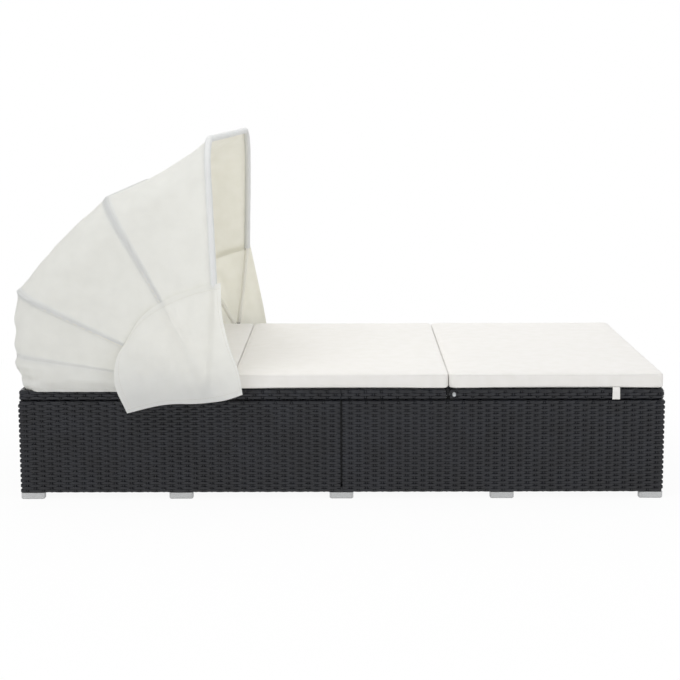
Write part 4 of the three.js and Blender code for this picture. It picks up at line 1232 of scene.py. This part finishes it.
sleeve = {
    "radius": 9.9 * mm,
    "from": 246,
    "to": -106,
    "cells": 20,
    "start": 308 * mm,
    "along": (40, 18, 70),
    "wrinkle": (0.5 * mm, 60 * mm),  # height and length
}


def makeSleeve(k):
    stations = bowStations(hood["bows"]["front"], k["start"], k["along"])
    turns = np.radians(np.linspace(k["from"], k["to"], k["cells"] + 1))
    grid = np.stack([bowPlaces("front", stations, k["radius"], turn) for turn in turns], axis=1)
    height, length = k["wrinkle"]
    grid = grid + outwards(grid) * (softNoise(grid, length, 21) * height)[..., None]
    # The sleeve is painted with the tube's shade all over
    piece = clothPiece("hood_front_sleeve", grid, hood["cloth"], [hoodBinding], paintedTubeShade=0.9)
    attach(piece, "front_bow")
    lines = seamLines(grid, hood["cloth"], [np.s_[:, 1], np.s_[:, -2]])
    thread = stitches("hood_front_stitches", lines, lambda made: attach(made, "front_bow"))


# A sewn tube of cloth round a bow, along the stations given
def makeTube(pieceName, name, stations, k, hand=1):
    turns = np.linspace(0, 2 * math.pi, k["cells"] + 1) * hand
    grid = np.stack([bowPlaces(name, stations, k["radius"], turn) for turn in turns], axis=1)
    piece = clothPiece(pieceName, grid, k["cloth"], [legCloth])
    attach(piece, bowBodies[name])


channel = {"radius": 7.4 * mm, "cells": 16, "cloth": 0.4 * mm}


# Inside the hood the three rear bows run in sewn channels
def makeChannels(k):
    for name in ("middle", "lower", "rear"):
        makeTube(f"hood_{name}_channel", name, clothStations(name), k)


legCover = {
    "start": 24 * mm,
    "radius": 7.3 * mm,
    "over": 6 * mm,
    "rows": 30,
    "cells": 16,
    "cloth": 0.3 * mm,
}


# Below the hood's edge each moving bow's leg runs in a sewn tube of the same cloth
def makeLegCovers(k):
    for name in ("front", "middle", "lower"):
        place = hood["bows"][name][2]
        out = np.linspace(k["start"], hood["hems"][name] + k["over"], k["rows"] + 1)
        for sideName, side in bothSides:
            stations = np.stack([out, out * 0 + side * place, out * 0, out * 0 + side])
            makeTube(f"{sideName}_{name}_leg_cover", name, stations, k, side)


flap = {  # outline from the hood's pivot, in the plane of the side
    "top": [(-258, 138), (-202, 221), (-138, 267), (-90, 289), (-44, 305), (0, 316), (38, 323)],
    "rear": [(-258, 138), (-283, 92), (-290, 25), (-252, -74)],
    "bottom": [(-252, -74), (-133, -47), (-35, -45), (54, -33), (101, -17)],
    "front": [(38, 323), (42, 220), (62, 130), (88, 55), (101, -17)],
    "farFront": [(50, 323), (72, 214), (99, 76), (114, -16)],
    "split": 119.1,  # degrees: the two halves meet in line with the middle bow
    "cells": (44, 60),
    "clear": 1.6 * mm,  # top edge off the hood's side
    "reach": 646 * mm,  # how far out the flap hangs at the pivot
    "ripple": 3.4 * mm,
    "crinkle": 0.9 * mm,
    "noise": (0.16, 0.05),  # lengths of the ripple and the crinkle
    "folds": [  # from and to, depth and width
        ((-136, 252), (-62, 113), -5 * mm, 17 * mm),
        ((-112, 262), (-36, 120), 4 * mm, 18 * mm),
        ((-228, 168), (-176, 40), 3.5 * mm, 22 * mm),
        ((10, 290), (54, 60), -2.5 * mm, 20 * mm),
        ((-60, 290), (-10, 80), -2.5 * mm, 16 * mm),
        ((-180, 60), (-190, -50), -3 * mm, 20 * mm),
    ],
}


# A smooth curve through knots, at even steps
def smoothCurve(knots, shares):
    knots = np.array(knots, float)
    t = distancesAlong(knots)
    slope = np.gradient(knots, t, axis=0)
    at = np.clip(shares, 0, 1) * t[-1]
    k = np.clip(np.searchsorted(t, at, side="right") - 1, 0, len(t) - 2)
    width = (t[k + 1] - t[k])[:, None]
    u = ((at - t[k]) / (t[k + 1] - t[k]))[:, None]
    first = (2 * u**3 - 3 * u**2 + 1) * knots[k] + (u**3 - 2 * u**2 + u) * width * slope[k]
    return first + (3 * u**2 - 2 * u**3) * knots[k + 1] + (u**3 - u**2) * width * slope[k + 1]


# A patch between four edges: top and bottom run along, rear and front run down
def patch(top, bottom, rear, front):
    c = np.linspace(0, 1, len(top))[None, :, None]
    d = np.linspace(0, 1, len(rear))[:, None, None]
    sides = (1 - c) * rear[:, None] + c * front[:, None]
    ends = (1 - d) * top[None] + d * bottom[None]
    above = (1 - c) * top[0] + c * top[-1]
    below = (1 - c) * bottom[0] + c * bottom[-1]
    return sides + ends - (1 - d) * above - d * below


def flapHalves(f, side):
    down, along = f["cells"]
    shares = np.linspace(0, 1, 400)
    if side > 0:
        far = f["farFront"]
        f = dict(f, front=far, top=f["top"][:-1] + far[:1], bottom=f["bottom"][:-1] + far[-1:])
    angle = math.radians(f["split"])
    beside = np.array([math.sin(angle), -math.cos(angle)])
    cuts = []
    for edge in ("top", "bottom"):
        off = np.abs(smoothCurve(f[edge], shares) @ beside)
        cuts.append((edge, shares[np.argmin(off)]))
    d = np.linspace(0, 1, down + 1)
    split = smoothCurve([smoothCurve(f[edge], np.array([cut]))[0] for edge, cut in cuts], d)
    c = np.linspace(0, 1, along // 2 + 1)
    behind = [smoothCurve(f[edge], c * cut) for edge, cut in cuts]
    ahead = [smoothCurve(f[edge], cut + c * (1 - cut)) for edge, cut in cuts]
    rear = patch(*behind, smoothCurve(f["rear"], d), split)
    front = patch(*ahead, split, smoothCurve(f["front"], d))
    return [half * mm for half in (rear, front)]


def flapGrid(half, f, side, seed):
    x, z = half[..., 0], half[..., 1]
    d = np.linspace(0, 1, half.shape[0])[:, None]
    angles, places = zip(*sorted((bow[0], bow[2]) for bow in hood["bows"].values()))
    turn = np.degrees(np.arctan2(z[:1], x[:1]))
    hang = np.interp(turn, angles, places) + hood["lift"] + f["clear"]
    out = hang + (f["reach"] - hang) * np.clip(d * 1.35, 0, 1) ** 0.75
    places3 = np.stack([x, x * 0 + seed, z], axis=-1)
    out = out + f["ripple"] * softNoise(places3, f["noise"][0], 31) * np.minimum(1, d * 3)
    out += f["crinkle"] * softNoise(places3, f["noise"][1], 32) * np.minimum(1, d * 4)
    for first, last, depth, width in f["folds"]:
        a, b = np.array(first) * mm, np.array(last) * mm
        along = b - a
        t = np.clip(((x - a[0]) * along[0] + (z - a[1]) * along[1]) / (along @ along), 0, 1)
        off = np.hypot(x - a[0] - t * along[0], z - a[1] - t * along[1])
        out += depth * np.sin(math.pi * np.clip(t, 0.03, 0.97)) ** 0.7 * np.exp(-((off / width) ** 2))
    grid = np.stack([hood["pivot"][0] + x, side * out, hood["pivot"][1] + z], axis=-1)
    return grid if side < 0 else grid[:, ::-1]


def makeFlaps(f):
    behind, ahead = (math.radians(f["split"] - hood["bows"][name][0]) for name in ("lower", "front"))
    halves = {
        "rear": ("lower_bow", "middle_bow", math.sin(behind), 0),
        "front": ("middle_bow", "front_bow", 0, math.sin(ahead)),
    }
    for sideName, side in bothSides:
        for (name, (a, b, first, last)), half in zip(halves.items(), flapHalves(f, side)):
            grid = flapGrid(half, f, side, 0.0 if side < 0 else 0.4)
            materials = [hoodCloth, flapInside]
            piece = clothPiece(f"{sideName}_flap_{name}", grid, hood["cloth"], materials, (0, 1))
            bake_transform(piece)
            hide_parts(f"{sideName}_hood_flap")
            # The grids of the two sides run opposite ways
            column = 2 if (name == "rear") == (side < 0) else -3
            lines = seamLines(grid, hood["cloth"], [np.s_[-3], np.s_[2], np.s_[2:-2, column]])
            thread = stitches(
                f"{sideName}_flap_{name}_stitches", lines, lambda made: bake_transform(made)
            )


# Straps of the cover's cloth, sewn under the footrest's cushion, that hang over the rail
strap = {
    "side": 565.9 * mm,  # the rail's woven face
    # Path in mm, as distance out from that face and height
    "fall": [(-8, 347.2), (-2.6, 350.6), (1.2, 348.8), (2.5, 343), (2.2, 331), (1.1, 320), (1.6, 313.4)],
    "edges": (837.4 * mm, 860.2 * mm),
    "flare": 1.4 * mm,
    "thickness": 1.3 * mm,
    "cup": 0.5 * mm,
    "hem": 4 * mm,
    "stitch": (4 * mm, 2.8 * mm, 0.35 * mm),  # pitch, length and radius
    "places": (37, 9),  # down the strap and across it
    "rounds": 6,  # times that the path is smoothed
}


def makeStraps(s):
    fall = np.array(s["fall"]) * mm
    rows, columns = s["places"]
    t = np.linspace(0, len(fall) - 1, rows)
    steps = np.arange(len(fall))
    path = np.stack([np.interp(t, steps, fall[:, k]) for k in (0, 1)], -1)
    for _ in range(s["rounds"]):
        path[1:-1] = (path[:-2] + 2 * path[1:-1] + path[2:]) / 4
    hemRow = -1 - round(s["hem"] / np.linalg.norm(np.diff(path, axis=0), axis=1).mean())
    share = np.linspace(0, 1, columns)[None, :]
    across = 2 * share - 1
    down = np.linspace(0, 1, rows)[:, None]
    low, high = s["edges"]
    x = low + (high - low) * share + s["flare"] * (down - 0.6) * across
    cup = s["cup"] * across**2 * np.clip(down * 2 - 1, 0, 1)
    for sideName, side in bothSides:
        y = side * (s["side"] + path[:, :1] + cup)
        z = np.broadcast_to(path[:, 1:], x.shape)
        grid = np.stack([x, y, z], -1)
        if side > 0:
            grid = grid[:, ::-1]
        piece = clothPiece(f"{sideName}_strap", grid, s["thickness"], [cushionCloth])
        line, normal = seamLines(grid, s["thickness"], [np.s_[hemRow, 1:-1]])[0]
        seam = stitchMesh(line, normal, *s["stitch"])
        thread = meshPiece(f"{sideName}_strap_seam", *seam, [sewingThread])
        for part in (piece, thread):
            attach(part, "footrest")
        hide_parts(f"{sideName}_cushion_strap")
    print("straps made")


makeBows()
makeGores()
makeSkirt(skirt)
makePockets()
makeSleeve(sleeve)
makeChannels(channel)
makeLegCovers(legCover)
makeFlaps(flap)
print("hood made")
makeStraps(strap)


# The CAD pieces that show keep their shape and take their material from the slot they belong to
slotMaterials = {
    "woven_rattan": rattan,
    "coated_steel": coatedSteel,
    "zinc_steel": zincSteel,
    "glide_plastic": glidePlastic,
    "cushion_fabric": cushionCloth,
    "hood_fabric": hoodCloth,
}


def paintNodes(materials):
    for part in frame["record"]["subparts"]:
        mesh = frame["nodes"][part["node"]].data
        mesh.materials.clear()
        mesh.materials.append(materials[part["material_slot"]])


paintNodes(slotMaterials)
print("CAD pieces painted")


studio = {
    "floor": "#f4f4f4",
    "floorSize": 60,
    "floorGlow": 0.94,  # share of the floor's white that is light of its own, near the daybed
    "shadowReach": (0.9, 2.6),
    "worldStrength": 0.56,
    "lamps": {  # place, size and power
        "key": ((-2.2, -3.6, 4.2), 3.2, 84),
        "fill": ((3.6, -3.8, 2.6), 3.4, 38),
        "top": ((0.3, 0.6, 4.6), 4.0, 38),
        "back": ((-0.4, 4.6, 2.6), 3.6, 95),
    },
    "aim": (0, 0, 0.4),
}


def makeStudio(s):
    world = bpy.data.worlds.new("studio")
    scene.world = world
    world.use_nodes = True
    tree = world.node_tree
    tree.nodes.clear()
    # The camera sees a white world, and the daybed is lit by a softer one
    soft, plain = (
        addNode(tree, "Background", {}, {"Color": (1, 1, 1, 1), "Strength": strength}).outputs[0]
        for strength in (s["worldStrength"], 1.0)
    )
    seen = addNode(tree, "LightPath", {}, {}).outputs["Is Camera Ray"]
    mixed = addNode(tree, "MixShader", {}, {0: seen, 1: soft, 2: plain})
    addNode(tree, "OutputWorld", {}, {"Surface": mixed.outputs[0]})
    for name, (place, size, power) in s["lamps"].items():
        data = bpy.data.lights.new(name, "AREA")
        data.size, data.energy = size, power
        lamp = bpy.data.objects.new(name, data)
        scene.collection.objects.link(lamp)
        lamp.location = place
        lamp.rotation_euler = (Vector(s["aim"]) - Vector(place)).to_track_quat("-Z", "Y").to_euler()


def makeFloor(s):
    # A paper sweep: the camera sees it as white light, less the shadow that the daybed throws on it
    material, tree, place = newMaterial("paper_sweep")
    diffuse = addNode(tree, "BsdfDiffuse", {}, {"Color": linear(s["floor"])})
    glow = addNode(tree, "Emission", {}, {"Color": (1, 1, 1, 1), "Strength": 1.0})
    rays = addNode(tree, "LightPath", {}, {})
    kinds = ("Camera", "Glossy", "Transmission")
    seen, glossy, through = (rays.outputs[f"Is {kind} Ray"] for kind in kinds)
    direct = mathNode(tree, "ADD", seen, glossy, clamped=True)
    bright = mathNode(tree, "ADD", direct, through, clamped=True)
    near, far = s["shadowReach"]
    fade = {
        "Value": addNode(tree, "VectorMath", {"operation": "LENGTH"}, {0: place}).outputs["Value"],
        "From Min": near,
        "From Max": far,
        "To Min": s["floorGlow"],
        "To Max": 1.0,
    }
    clear = addNode(tree, "MapRange", {"interpolation_type": "SMOOTHSTEP"}, fade).outputs["Result"]
    shown = mathNode(tree, "MULTIPLY", bright, clear)
    mixed = addNode(tree, "MixShader", {}, {0: shown, 1: diffuse.outputs[0], 2: glow.outputs[0]})
    addNode(tree, "OutputMaterial", {}, {"Surface": mixed.outputs[0]})
    half = s["floorSize"] / 2
    corners = [(-half, -half, 0), (half, -half, 0), (half, half, 0), (-half, half, 0)]
    floor = meshPiece("paper_sweep", corners, [(0, 1, 2, 3)], [material])


makeStudio(studio)
makeFloor(studio)
print("studio lit")
